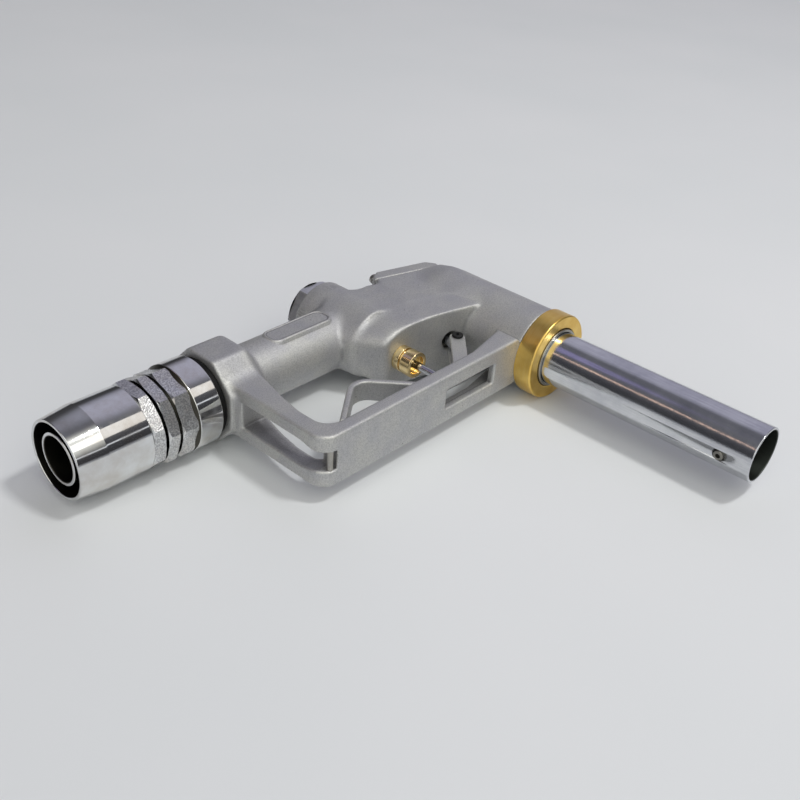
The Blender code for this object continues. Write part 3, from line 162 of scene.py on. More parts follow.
def plated(name, light, dark, low, high, across):
    """Turned steel under bright plating: a mirror skin over faint lathe lines, with a cloudy film here and there.
    Milled flats keep a pebbled forging skin. Bores are left unpolished and painted dark as shade."""
    made, tree, shader, where = finish(name, {"Metallic": 1.0})
    film = node(tree, "ShaderNodeTexNoise", {"Vector": where, "Scale": per_mm(12), "Detail": 5.0, "Roughness": 0.6})
    film = node(tree, "ShaderNodeMapRange", {"Value": film, "From Min": 0.36, "From Max": 0.68})
    along = node(tree, "ShaderNodeMapping", {"Vector": where, "Scale": across})
    lines = node(tree, "ShaderNodeTexNoise", {"Vector": along, "Scale": per_mm(0.7), "Detail": 2.0})
    base = node(tree, "ShaderNodeMix", {"Factor": film, "A": light, "B": dark}, data_type='RGBA')
    forged = node(tree, "ShaderNodeAttribute", attribute_name="forged").outputs["Fac"]
    # The forging skin's pebbles are about 0.3 mm; they are drawn at 0.9 mm so that they show.
    pebble = node(tree, "ShaderNodeTexNoise", {"Vector": where, "Scale": per_mm(0.9), "Detail": 2.0})
    dip = node(tree, "ShaderNodeMapRange", {"Value": pebble, "From Min": 0.58, "From Max": 0.42, "To Max": 0.6})
    dip = node(tree, "ShaderNodeMath", {0: dip, 1: forged}, operation='MULTIPLY')
    base = node(tree, "ShaderNodeMix", {"Factor": dip, "A": base, "B": "#7E7D84"}, data_type='RGBA')
    # Faces picked as bores are left unpolished and painted dark as shade.
    bore = node(tree, "ShaderNodeAttribute", attribute_name="bore").outputs["Fac"]
    base = node(tree, "ShaderNodeMix", {"Factor": bore, "A": base, "B": "#4A4842"}, data_type='RGBA')
    gloss = node(tree, "ShaderNodeMapRange", {"Value": film, "To Min": low, "To Max": high})
    gloss = node(tree, "ShaderNodeMath", {0: forged, 1: 0.22, 2: gloss}, operation='MULTIPLY_ADD')
    gloss = node(tree, "ShaderNodeMath", {0: bore, 1: 0.25, 2: gloss}, operation='MULTIPLY_ADD')
    turning = node(tree, "ShaderNodeBump", {"Height": lines, "Distance": 0.003 * MM, "Strength": 0.06})
    skin = node(tree, "ShaderNodeMath", {0: pebble, 1: forged}, operation='MULTIPLY')
    skin = node(tree, "ShaderNodeBump", {"Height": skin, "Distance": 0.5 * MM, "Strength": 0.36, "Normal": turning})
    tree.links.new(base.outputs[2], shader.inputs["Base Color"])
    tree.links.new(gloss.outputs[0], shader.inputs["Roughness"])
    tree.links.new(skin.outputs[0], shader.inputs["Normal"])
    return made


def turned_metal(name, light, dark, ring, low, high, ring_mm, across):
    """Turned metal, plain or anodised: a warm satin whose lathe rings are painted as paler lines, a painted sheen."""
    made, tree, shader, where = finish(name, {"Metallic": 1.0})
    along = node(tree, "ShaderNodeMapping", {"Vector": where, "Scale": across})
    rings = node(tree, "ShaderNodeTexNoise", {"Vector": along, "Scale": per_mm(ring_mm), "Detail": 3.0, "Roughness": 0.7})
    film = node(tree, "ShaderNodeTexNoise", {"Vector": where, "Scale": per_mm(9), "Detail": 3.0})
    film = node(tree, "ShaderNodeMapRange", {"Value": film, "From Min": 0.35, "From Max": 0.65})
    base = node(tree, "ShaderNodeMix", {"Factor": film, "A": light, "B": dark}, data_type='RGBA')
    # The lathe rings are painted paler, a painted sheen of the light they catch.
    share = node(tree, "ShaderNodeMapRange", {"Value": rings, "From Min": 0.4, "From Max": 0.72, "To Max": 0.4})
    base = node(tree, "ShaderNodeMix", {"Factor": share, "A": base, "B": ring}, data_type='RGBA')
    gloss = node(tree, "ShaderNodeMapRange", {"Value": rings, "From Min": 0.3, "From Max": 0.7, "To Min": low, "To Max": high})
    bump = node(tree, "ShaderNodeBump", {"Height": rings, "Distance": 0.015 * MM, "Strength": 0.4})
    tree.links.new(base.outputs[2], shader.inputs["Base Color"])
    tree.links.new(gloss.outputs[0], shader.inputs["Roughness"])
    tree.links.new(bump.outputs[0], shader.inputs["Normal"])
    return made


def zinc_plate(name, light, dark, low, high, along):
    """Drawn steel under bright zinc: silky streaks along its length and a fine sparkle of crystals painted as pale
    dots.
    """
    made, tree, shader, where = finish(name, {"Metallic": 1.0})
    grainy = node(tree, "ShaderNodeMapping", {"Vector": where, "Scale": along})
    streak = node(tree, "ShaderNodeTexNoise", {"Vector": grainy, "Scale": per_mm(0.9), "Detail": 4.0, "Roughness": 0.6})
    film = node(tree, "ShaderNodeTexNoise", {"Vector": where, "Scale": per_mm(18), "Detail": 4.0, "Roughness": 0.6})
    film = node(tree, "ShaderNodeMapRange", {"Value": film, "From Min": 0.35, "From Max": 0.68})
    # Crystals are far finer than a millimetre; they are drawn at 0.7 mm so that they show.
    spark = node(tree, "ShaderNodeTexVoronoi", {"Vector": where, "Scale": per_mm(0.7)})
    # The crystals' sparkle is a painted glint: pale dots at the middle of each cell.
    glint = node(tree, "ShaderNodeMapRange", {"Value": spark, "From Min": 0.05, "From Max": 0.3, "To Min": 0.35, "To Max": 0.0})
    base = node(tree, "ShaderNodeMix", {"Factor": film, "A": light, "B": dark}, data_type='RGBA')
    base = node(tree, "ShaderNodeMix", {"Factor": glint, "A": base, "B": "#F2F1F4"}, data_type='RGBA')
    share = node(tree, "ShaderNodeMapRange", {"Value": streak, "From Min": 0.42, "From Max": 0.72, "To Max": 0.35})
    base = node(tree, "ShaderNodeMix", {"Factor": share, "A": base, "B": "#A3A3B2"}, data_type='RGBA')
    # Faces picked as bores are left unpolished and painted dark as shade.
    bore = node(tree, "ShaderNodeAttribute", attribute_name="bore").outputs["Fac"]
    base = node(tree, "ShaderNodeMix", {"Factor": bore, "A": base, "B": "#4A4F4B"}, data_type='RGBA')
    gloss = node(tree, "ShaderNodeMapRange", {"Value": streak, "From Min": 0.3, "From Max": 0.7, "To Min": low, "To Max": high})
    gloss = node(tree, "ShaderNodeMath", {0: bore, 1: 0.3, 2: gloss}, operation='MULTIPLY_ADD')
    drawn = node(tree, "ShaderNodeBump", {"Height": streak, "Distance": 0.01 * MM, "Strength": 0.3})
    crystal = node(tree, "ShaderNodeBump", {"Height": spark, "Distance": 0.03 * MM, "Strength": 0.5, "Normal": drawn})
    tree.links.new(base.outputs[2], shader.inputs["Base Color"])
    tree.links.new(gloss.outputs[0], shader.inputs["Roughness"])
    tree.links.new(crystal.outputs[0], shader.inputs["Normal"])
    return made


def fine_skin(name, light, dark, metallic, low, high, tooth_mm):
    """Drawn wire, moulded rubber or blackened steel: one quiet tone with a fine tooth and a faint bloom."""
    made, tree, shader, where = finish(name, {"Metallic": metallic, "Specular IOR Level": 0.5 if metallic else 0.2})
    tooth = node(tree, "ShaderNodeTexNoise", {"Vector": where, "Scale": per_mm(tooth_mm), "Detail": 3.0})
    bloom = node(tree, "ShaderNodeTexNoise", {"Vector": where, "Scale": per_mm(6), "Detail": 3.0})
    bloom = node(tree, "ShaderNodeMapRange", {"Value": bloom, "From Min": 0.35, "From Max": 0.75})
    base = node(tree, "ShaderNodeMix", {"Factor": bloom, "A": dark, "B": light}, data_type='RGBA')
    gloss = node(tree, "ShaderNodeMapRange", {"Value": tooth, "From Min": 0.3, "From Max": 0.7, "To Min": low, "To Max": high})
    bump = node(tree, "ShaderNodeBump", {"Height": tooth, "Distance": 0.03 * MM, "Strength": 0.5})
    tree.links.new(base.outputs[2], shader.inputs["Base Color"])
    tree.links.new(gloss.outputs[0], shader.inputs["Roughness"])
    tree.links.new(bump.outputs[0], shader.inputs["Normal"])
    return made


CAST = cast_aluminium()
BRIGHT = plated("bright_plated_steel", "#DFE1E2", "#CBC8C4", 0.05, 0.12, (1, 0.02, 0.02))
COLLAR = plated("dull_plated_collar", "#ABAAA4", "#8F8D86", 0.26, 0.36, (0.02, 1, 0.02))
MACHINED = turned_metal("machined_aluminium", "#CFD0D2", "#BDBEC1", "#E2E3E4", 0.36, 0.5, 0.8, (1, 0.03, 1))
GOLD = turned_metal("gold_anodised_aluminium", "#F0CB6E", "#E3B958", "#F8E1A4", 0.28, 0.4, 0.4, (0.01, 1, 0.01))
BRASS = turned_metal("turned_brass", "#F1DAA4", "#E2C383", "#FAEDD0", 0.14, 0.26, 0.4, (0.02, 1, 0.02))
# Dark steel: the port's own tone, and painted shade where it stands in on the plunger guide.
DARK_STEEL_AND_SHADE = turned_metal("dark_steel_and_painted_shade", "#8A8882", "#6F6D68", "#9B9993", 0.4, 0.55, 0.4, (0.02, 1, 0.02))
ZINC = zinc_plate("bright_zinc_drawn_tube", "#D9DBDD", "#C3C5CA", 0.1, 0.18, (1, 0.03, 1))
ZINC_PIN = zinc_plate("dull_zinc_pin", "#B5B2A8", "#8F8D86", 0.32, 0.46, (1, 1, 0.05))
STEEL = zinc_plate("ground_steel_rod", "#CFD1D4", "#B2B4B8", 0.1, 0.22, (1, 0.04, 1))
SPRING = fine_skin("drawn_spring_wire", "#8E9096", "#6C6E74", 1.0, 0.25, 0.4, 0.3)
RUBBER = fine_skin("moulded_nitrile_rubber", "#0C0C0D", "#060606", 0.0, 0.5, 0.65, 0.6)
BLACK = fine_skin("black_oxide_steel", "#232427", "#101113", 0.6, 0.28, 0.45, 0.5)


# Making a mesh with a node tree

def tree_inputs(name, sockets):
    """Geometry Nodes tree with its named inputs, ready for its nodes."""
    tree = bpy.data.node_groups.new(name, 'GeometryNodeTree')
    tree.interface.new_socket("Geometry", in_out='INPUT', socket_type='NodeSocketGeometry')
    for label, kind in sockets:
        tree.interface.new_socket(label, in_out='INPUT', socket_type=kind)
    tree.interface.new_socket("Geometry", in_out='OUTPUT', socket_type='NodeSocketGeometry')
    return tree, node(tree, "NodeGroupInput").outputs


def tree_ends(tree, geometry, material):
    """Every tree closes with plain geometry and its finish."""
    real = node(tree, "GeometryNodeRealizeInstances", {"Geometry": geometry})
    painted = node(tree, "GeometryNodeSetMaterial", {"Geometry": real, "Material": material})
    node(tree, "NodeGroupOutput", {"Geometry": painted})


def grown(tree, mesh, **values):
    """Plain mesh that the tree makes from a starting mesh, its inputs given by name."""
    holder = bpy.data.objects.new("blank", mesh)
    bpy.context.scene.collection.objects.link(holder)
    step = holder.modifiers.new("grown", 'NODES')
    step.node_group = tree
    for item in tree.interface.items_tree:
        if item.in_out == 'INPUT' and item.name in values:
            step[item.identifier] = values[item.name]
    graph = bpy.context.evaluated_depsgraph_get()
    made = bpy.data.meshes.new_from_object(holder.evaluated_get(graph))
    bpy.data.objects.remove(holder, do_unlink=True)
    return made


def lathe_tree():
    """Turns a profile about its axis. A profile point is (radius, half across flats, station): where the
    second is set, that part of the blank is milled to so many sides."""
    tree, given = tree_inputs("lathe", [("Steps", 'NodeSocketInt'), ("Sides", 'NodeSocketInt'),
                                        ("Sharp", 'NodeSocketFloat'), ("Finish", 'NodeSocketMaterial')])
    count = node(tree, "GeometryNodeAttributeDomainSize", {"Geometry": given["Geometry"]}, component='MESH')
    columns = node(tree, "ShaderNodeMath", {0: given["Steps"], 1: 1.0}, operation='ADD')
    sheet = node(tree, "GeometryNodeMeshGrid", {"Vertices X": count.outputs["Point Count"], "Vertices Y": columns})
    index = node(tree, "GeometryNodeInputIndex")
    row = node(tree, "ShaderNodeMath", {0: index, 1: 0.5}, operation='ADD')
    row = node(tree, "ShaderNodeMath", {0: row, 1: columns}, operation='DIVIDE')
    row = node(tree, "ShaderNodeMath", {0: row}, operation='FLOOR')
    past = node(tree, "ShaderNodeMath", {0: row, 1: columns}, operation='MULTIPLY')
    column = node(tree, "ShaderNodeMath", {0: index, 1: past}, operation='SUBTRACT')
    spot = node(tree, "GeometryNodeInputPosition")
    sample = node(tree, "GeometryNodeSampleIndex", {"Geometry": given["Geometry"], "Index": row},
                  data_type='FLOAT_VECTOR', domain='POINT')
    tree.links.new(spot.outputs[0], next(s for s in sample.inputs if s.enabled and s.name == "Value"))
    radius, half, station = node(tree, "ShaderNodeSeparateXYZ", {0: sample}).outputs
    turn = node(tree, "ShaderNodeMath", {0: column, 1: given["Steps"]}, operation='DIVIDE')
    turn = node(tree, "ShaderNodeMath", {0: turn, 1: 2 * math.pi}, operation='MULTIPLY')
    side = node(tree, "ShaderNodeMath", {0: 2 * math.pi, 1: given["Sides"]}, operation='DIVIDE')
    mid = node(tree, "ShaderNodeMath", {0: side, 1: 0.5}, operation='MULTIPLY')
    swing = node(tree, "ShaderNodeMath", {0: turn, 1: side}, operation='MODULO')
    swing = node(tree, "ShaderNodeMath", {0: swing, 1: mid}, operation='SUBTRACT')
    swing = node(tree, "ShaderNodeMath", {0: swing}, operation='COSINE')
    flat = node(tree, "ShaderNodeMath", {0: half, 1: swing}, operation='DIVIDE')
    milled = node(tree, "ShaderNodeMath", {0: half, 1: 0.0}, operation='GREATER_THAN')
    rim = node(tree, "ShaderNodeMath", {0: radius, 1: 0.0001}, operation='ADD')
    bitten = node(tree, "ShaderNodeMath", {0: flat, 1: rim}, operation='LESS_THAN')
    bitten = node(tree, "ShaderNodeMath", {0: bitten, 1: milled}, operation='MULTIPLY')
    reach = node(tree, "GeometryNodeSwitch", {"Switch": bitten, "False": radius, "True": flat}, input_type='FLOAT')
    cosine = node(tree, "ShaderNodeMath", {0: turn}, operation='COSINE')
    sine = node(tree, "ShaderNodeMath", {0: turn}, operation='SINE')
    across = node(tree, "ShaderNodeMath", {0: reach, 1: cosine}, operation='MULTIPLY')
    upward = node(tree, "ShaderNodeMath", {0: reach, 1: sine}, operation='MULTIPLY')
    place = node(tree, "ShaderNodeCombineXYZ", {"X": across, "Y": upward, "Z": station})
    skin = node(tree, "GeometryNodeSetPosition", {"Geometry": sheet, "Position": place})
    skin = node(tree, "GeometryNodeMergeByDistance", {"Geometry": skin, "Distance": 0.002})
    skin = node(tree, "GeometryNodeSetShadeSmooth", {"Geometry": skin, "Shade Smooth": True})
    bend = node(tree, "GeometryNodeInputMeshEdgeAngle")
    crisp = node(tree, "ShaderNodeMath", {0: bend, 1: given["Sharp"]}, operation='GREATER_THAN')
    skin = node(tree, "GeometryNodeSetShadeSmooth", {"Geometry": skin, "Selection": crisp, "Shade Smooth": False},
                domain='EDGE')
    tree_ends(tree, skin, given["Finish"])
    return tree


def coil_tree():
    """Round wire wound into a compression spring."""
    tree, given = tree_inputs("coil", [("Curls", 'NodeSocketFloat'), ("Mean radius", 'NodeSocketFloat'),
                                       ("Wire radius", 'NodeSocketFloat'), ("Rise", 'NodeSocketFloat'),
                                       ("Points", 'NodeSocketInt'), ("Finish", 'NodeSocketMaterial')])
    path = node(tree, "GeometryNodeCurveSpiral", {"Resolution": given["Points"], "Rotations": given["Curls"],
                                                  "Start Radius": given["Mean radius"],
                                                  "End Radius": given["Mean radius"], "Height": given["Rise"]})
    wire = node(tree, "GeometryNodeCurvePrimitiveCircle", {"Resolution": 12, "Radius": given["Wire radius"]})
    skin = node(tree, "GeometryNodeCurveToMesh", {"Curve": path, "Profile Curve": wire, "Fill Caps": True})
    skin = node(tree, "GeometryNodeSetShadeSmooth", {"Geometry": skin, "Shade Smooth": True})
    tree_ends(tree, skin, given["Finish"])
    return tree


def screw_tree():
    """One screw set at every point of the starting mesh."""
    tree, given = tree_inputs("cover_screws", [("Screw", 'NodeSocketObject'), ("Finish", 'NodeSocketMaterial')])
    screw = node(tree, "GeometryNodeObjectInfo", {"Object": given["Screw"]})
    every = node(tree, "GeometryNodeInstanceOnPoints", {"Points": given["Geometry"],
                                                        "Instance": screw.outputs["Geometry"]})
    tree_ends(tree, every, given["Finish"])
    return tree


LATHE = lathe_tree()
COIL = coil_tree()


def tidy(mesh):
    """Doubles merged, loose wires dropped and every face turned outwards."""
    skin = bmesh.new()
    skin.from_mesh(mesh)
    bmesh.ops.remove_doubles(skin, verts=skin.verts, dist=0.002)
    bmesh.ops.dissolve_degenerate(skin, edges=skin.edges, dist=0.0005)
    bmesh.ops.delete(skin, geom=[e for e in skin.edges if not e.link_faces], context='EDGES')
    bmesh.ops.delete(skin, geom=[v for v in skin.verts if not v.link_faces], context='VERTS')
    bmesh.ops.recalc_face_normals(skin, faces=skin.faces)
    skin.to_mesh(mesh)
    skin.free()


def rounded(corners, steps=4):
    """Outline through (x, y, radius, ...) corners with each radius turned into an arc."""
    outline = []
    for i, (x, y, radius, *rest) in enumerate(corners):
        spot = Vector((x, y))
        before = Vector(corners[i - 1][:2]) - spot
        after = Vector(corners[(i + 1) % len(corners)][:2]) - spot
        half = before.angle(after, math.pi) / 2
        if radius == 0 or half > 1.56:
            outline.append((x, y, *rest))
            continue
        reach = min(radius / math.tan(half), before.length * 0.49, after.length * 0.49)
        radius = reach * math.tan(half)
        centre = spot + (before.normalized() + after.normalized()).normalized() * (radius / math.sin(half))
        first = spot + before.normalized() * reach - centre
        sweep = first.angle_signed(spot + after.normalized() * reach - centre)
        for step in range(steps + 1):
            point = centre + Matrix.Rotation(-sweep * step / steps, 2) @ first
            outline.append((point.x, point.y, *rest))
    return outline


def turned(profile, axis, material, steps=144, sides=8, turn=0.0, dull_and_shaded=None):
    """Mesh of a lathe profile in millimetres: (radius, station, corner radius, half across flats) points that
    run round the section once. Faces that the given test picks by (radius, station) are left unpolished
    and painted dark as shade. Long runs get a row close to each end, so that they shade straight."""
    corners = [(r, s, e[0] if e else 0, e[1] if len(e) > 1 else 0) for r, s, *e in profile]
    outline = rounded(corners, 6)
    outline.append(outline[0])
    spots = []
    for (r0, s0, c0), (r1, s1, c1) in zip(outline, outline[1:]):
        spots.append((r0, c0, s0))
        length = math.hypot(r1 - r0, s1 - s0)
        for k in (0.2 / length, 1 - 0.2 / length) if length > 1.2 else ():
            spots.append((r0 + (r1 - r0) * k, min(c0, c1), s0 + (s1 - s0) * k))
    spots.append(spots[0])
    blank = bpy.data.meshes.new("profile")
    blank.from_pydata(spots, [], [])
    mesh = grown(LATHE, blank, Steps=steps, Sides=sides, Sharp=math.radians(20), Finish=material)
    bpy.data.meshes.remove(blank)
    mesh.materials.clear()
    mesh.materials.append(material)
    tidy(mesh)
    if dull_and_shaded:
        inner = mesh.attributes.new("bore", 'FLOAT', 'FACE')
        places = [(math.hypot(*f.center[:2]), f.center.z) for f in mesh.polygons]
        inner.data.foreach_set("value", [float(dull_and_shaded(*place)) for place in places])
    mesh.transform(axis @ Matrix.Rotation(turn, 4, 'Z'))
    return mesh


def piece(name, meshes, body, nodes):
    """One finished piece that rides on a body and stands for CAD nodes."""
    mesh = meshes[0]
    if len(meshes) > 1:
        whole = bmesh.new()
        for part in meshes:
            whole.from_mesh(part)
        whole.to_mesh(mesh)
        whole.free()
    mesh.name = name
    made = bpy.data.objects.new(name, mesh)
    bpy.context.scene.collection.objects.link(made)
    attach(made, body)
    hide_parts(*nodes)
    return made


# Cast pieces: each is a sum of outlines pushed straight or turned, run together with fillets and skinned

def flat_distance(u, v, outline):
    """Signed distance in a plane to a closed outline, below zero inside."""
    u, v = np.broadcast_arrays(u, v)
    best = np.full(u.shape, 1e9, np.float32)
    inside = np.zeros(u.shape, bool)
    for (x0, y0), (x1, y1) in zip(outline, outline[1:] + outline[:1]):
        ex, ey = x1 - x0, y1 - y0
        wx, wy = u - x0, v - y0
        t = np.clip((wx * ex + wy * ey) / (ex * ex + ey * ey), 0, 1)
        best = np.minimum(best, (wx - ex * t) ** 2 + (wy - ey * t) ** 2)
        passed = wx * ey < wy * ex if ey > 0 else wx * ey > wy * ex
        inside ^= ((y0 <= v) != (y1 <= v)) & passed
    return np.where(inside, -1, 1) * np.sqrt(best)


def run_in(a, b, fillet):
    """Two solids as one, with a fillet in the corner between them."""
    h = np.maximum(fillet - np.abs(a - b), 0) / fillet
    return np.minimum(a, b) - h * h * fillet / 4


def meet(a, b, edge):
    """What two solids share, with a rounded edge."""
    return -run_in(-a, -b, edge)


def carve(a, b, edge):
    """First solid less the second, with a rounded rim."""
    return meet(a, -b, edge)


def pushed(flat, height, low, high, edge=0.01):
    """An outline pushed from low to high, its rims rounded."""
    wall = flat + edge
    lid = np.abs(height - (low + high) / 2) - (high - low) / 2 + edge
    return np.minimum(np.maximum(wall, lid), 0) + np.hypot(np.maximum(wall, 0), np.maximum(lid, 0)) - edge


def rod(reach, radius, station, low, high, edge=0.01):
    """A round bar or hole between two stations."""
    return pushed(reach - radius, station, low, high, edge)


def plate(u, v, low, high):
    """Flat distance to an upright rectangle."""
    du = np.abs(u - (low[0] + high[0]) / 2) - (high[0] - low[0]) / 2
    dv = np.abs(v - (low[1] + high[1]) / 2) - (high[1] - low[1]) / 2
    return np.minimum(np.maximum(du, dv), 0) + np.hypot(np.maximum(du, 0), np.maximum(dv, 0))


def thinned(mesh, share):
    """The same skin with fewer triangles, taken mostly from its plain stretches."""
    holder = bpy.data.objects.new("skin", mesh)
    bpy.context.scene.collection.objects.link(holder)
    holder.modifiers.new("thinned", 'DECIMATE').ratio = share
    made = bpy.data.meshes.new_from_object(holder.evaluated_get(bpy.context.evaluated_depsgraph_get()))
    bpy.data.objects.remove(holder, do_unlink=True)
    return made


MOST_FACES = 160_000
CELL = [(i, j, k) for i in (0, 1) for j in (0, 1) for k in (0, 1)]
CELL_EDGES = [(a, b) for a in CELL for b in CELL if sum(b) - sum(a) == 1 and all(q >= p for p, q in zip(a, b))]


def skinned(shape, low, high, step, dirt_and_shade=None):
    """Mesh of the zero level of a shape function, one point in each grid cell that the level crosses."""
    axes = [np.arange(a, b + step, step, dtype=np.float32) for a, b in zip(low, high)]
    field = shape(axes[0][:, None, None], axes[1][None, :, None], axes[2][None, None, :]).astype(np.float32)
    inside = field < 0
    size = [n - 1 for n in field.shape]
    held = sum(inside[i:i + size[0], j:j + size[1], k:k + size[2]].astype(np.int8) for i, j, k in CELL)
    cells = np.argwhere((held > 0) & (held < 8))
    number = np.full(size, -1, np.int64)
    number[tuple(cells.T)] = np.arange(len(cells))
    total = np.zeros((len(cells), 3))
    count = np.zeros(len(cells))
    for a, b in CELL_EDGES:
        fa = field[tuple((cells + a).T)]
        fb = field[tuple((cells + b).T)]
        cut = (fa < 0) != (fb < 0)
        t = np.where(cut, fa / np.where(cut, fa - fb, 1), 0)
        total[cut] += (np.array(a) + t[:, None] * (np.array(b) - a))[cut]
        count += cut
    points = (cells + total / count[:, None]) * step + np.array(low)
    quads = []
    for axis in range(3):
        u, v = [(1, 2), (2, 0), (0, 1)][axis]
        first = [slice(None)] * 3
        second = [slice(None)] * 3
        first[axis] = slice(0, -1)
        second[axis] = slice(1, None)
        here = inside[tuple(first)]
        there = inside[tuple(second)]
        for leaving in (True, False):
            spots = np.argwhere((here & ~there) if leaving else (~here & there))
            spots = spots[((spots[:, (u, v)] > 0) & (spots[:, (u, v)] < np.array(size)[[u, v]])).all(1)]
            ring = []
            for du, dv in ((-1, -1), (0, -1), (0, 0), (-1, 0)):
                spot = spots.copy()
                spot[:, u] += du
                spot[:, v] += dv
                ring.append(number[tuple(spot.T)])
            quads.append(np.stack(ring if leaving else ring[::-1], 1))
    quads = np.concatenate(quads)
    mesh = bpy.data.meshes.new("casting")
    mesh.from_pydata((points * MM + np.array(BENCH)).tolist(), [], quads.tolist())
    mesh.update()
    wear_and_shade(mesh, points, dirt_and_shade(points) if dirt_and_shade else 0)
    if 2 * len(quads) > MOST_FACES:
        mesh = thinned(mesh, MOST_FACES / (2 * len(quads)))
    mesh.shade_smooth()
    mesh.materials.append(CAST)
    return mesh


def wear_and_shade(mesh, points, dirt_and_shade):
    """How far each point stands out or lies in, for the rubbed edges and the darkened creases, with painted shade in
    the guard's slot.
    """
    normals = np.zeros(len(points) * 3, np.float32)
    mesh.vertex_normals.foreach_get("vector", normals)
    normals = normals.reshape(-1, 3)
    ends = np.zeros(len(mesh.edges) * 2, np.int32)
    mesh.edges.foreach_get("vertices", ends)
    a, b = ends.reshape(-1, 2).T
    span = points[b] - points[a]
    bend = ((normals[b] - normals[a]) * span).sum(1) / np.maximum((span * span).sum(1), 0.01)
    links = np.bincount(a, minlength=len(points)) + np.bincount(b, minlength=len(points))
    curve = np.bincount(a, bend, len(points)) + np.bincount(b, bend, len(points))
    curve /= links
    for _ in range(2):
        curve = (curve + (np.bincount(a, curve[b], len(points)) + np.bincount(b, curve[a], len(points))) / links) / 2
    # Creases and the seam darken, and the guard's slot is darkened as well, as painted shade.
    for name, value in (("edge", (curve - 0.17) / 0.25 - 2 * dirt_and_shade), ("crease_and_shade", (-curve - 0.05) / 0.15 + 2 * dirt_and_shade)):
        store = mesh.attributes.new(name, 'FLOAT', 'POINT')
        store.data.foreach_set("value", np.clip(value, 0, 1).astype(np.float32))


def latch_place(x, y):
    """Bench x and y as (across, along) the tilted latch axis."""
    dx, dy = x - PIVOT[0], y - PIVOT[1]
    c, s = math.cos(TILT), math.sin(TILT)
    return dx * c - dy * s, dx * s + dy * c


GUARD = rounded([(101.5, -14, 0), (101.5, -101, 11), (275, -101, 0), (275, -83.4, 0), (239, -91, 30),
                 (113, -91, 12), (113, -68.7, 20), (115.6, -52.5, 20), (121.7, -28, 0), (121.7, -14, 0)], 8)
GUARD_SLOT = [(90, -106), (112, -106), (112, -90), (120, -84), (127, -84), (129, -96), (270, -96), (270, -81),
              (124.5, -81), (124.5, -32.5), (90, -32.5)]
CAP_SEAT = 28.6
COVER = [(-23.5, 60), (-23.5, 72), (-17, 78.4), (24, 78.4), (30.5, 73), (30.5, 60)]
SCREWS = [(s, side) for s in (-19, 26) for side in (-18, 18)]


def seam_dirt_and_slot_shade(points):
    """How far each point lies in the seam between housing and cover, where dirt stays,
    and inside the guard's slot, where shade is painted.
    """
    x, y, z = points.T
    seam = np.exp(-((latch_place(x, y)[1] - 68.1) / 0.9) ** 2)
    # Inside the guard's slot the casting is darkened as painted shade.
    slot = (np.abs(z) < 8.9) & (x < 124) & (y < -34) & (y > -94)
    return np.maximum(seam, 0.7 * slot)


def leaning(reach, lean, z):
    """Wall that leans in on a quarter ellipse from 10 to 23 mm off the middle, by lean in all."""
    v = np.clip((np.abs(z) - 10) / 13, 0, 0.995)
    level = np.sqrt(1 - v * v)
    return (reach + lean * (1 - level)) / np.hypot(1, lean / 13 * v / level)


def front_wall(x, y):
    """Plain front wall, which turns out to meet the nose."""
    return run_in(-46.7 - y, (-46.7 - y) * math.cos(TILT) - (x - VALVE_X - 14.5) * math.sin(TILT), 8)


def valve_chamber(x, y, z):
    """Chamber that leans in towards the grip behind its front wall."""
    left = leaning(VALVE_X - 29 - x, 24, z)
    out = -(x - VALVE_X + 29) * 0.905 - (y + 15.9) * 0.426
    run = np.clip(((x - VALVE_X + 29) * 0.426 - (y + 15.9) * 0.905) / 34, 0, 1)
    slant = leaning(out, 21.7 - 11.1 * run * run * (3 - 2 * run), z)
    back = np.maximum(y - 9, (y - 9) * 0.929 + (x - VALVE_X - 24) * 0.371)
    soft = 7 + 15 * np.clip((np.abs(z) - 6) / 12, 0, 1)
    walls = meet(meet(left, slant, soft), front_wall(x, y), 4)
    return np.maximum(meet(walls, back, 3), x - SPOUT_X)


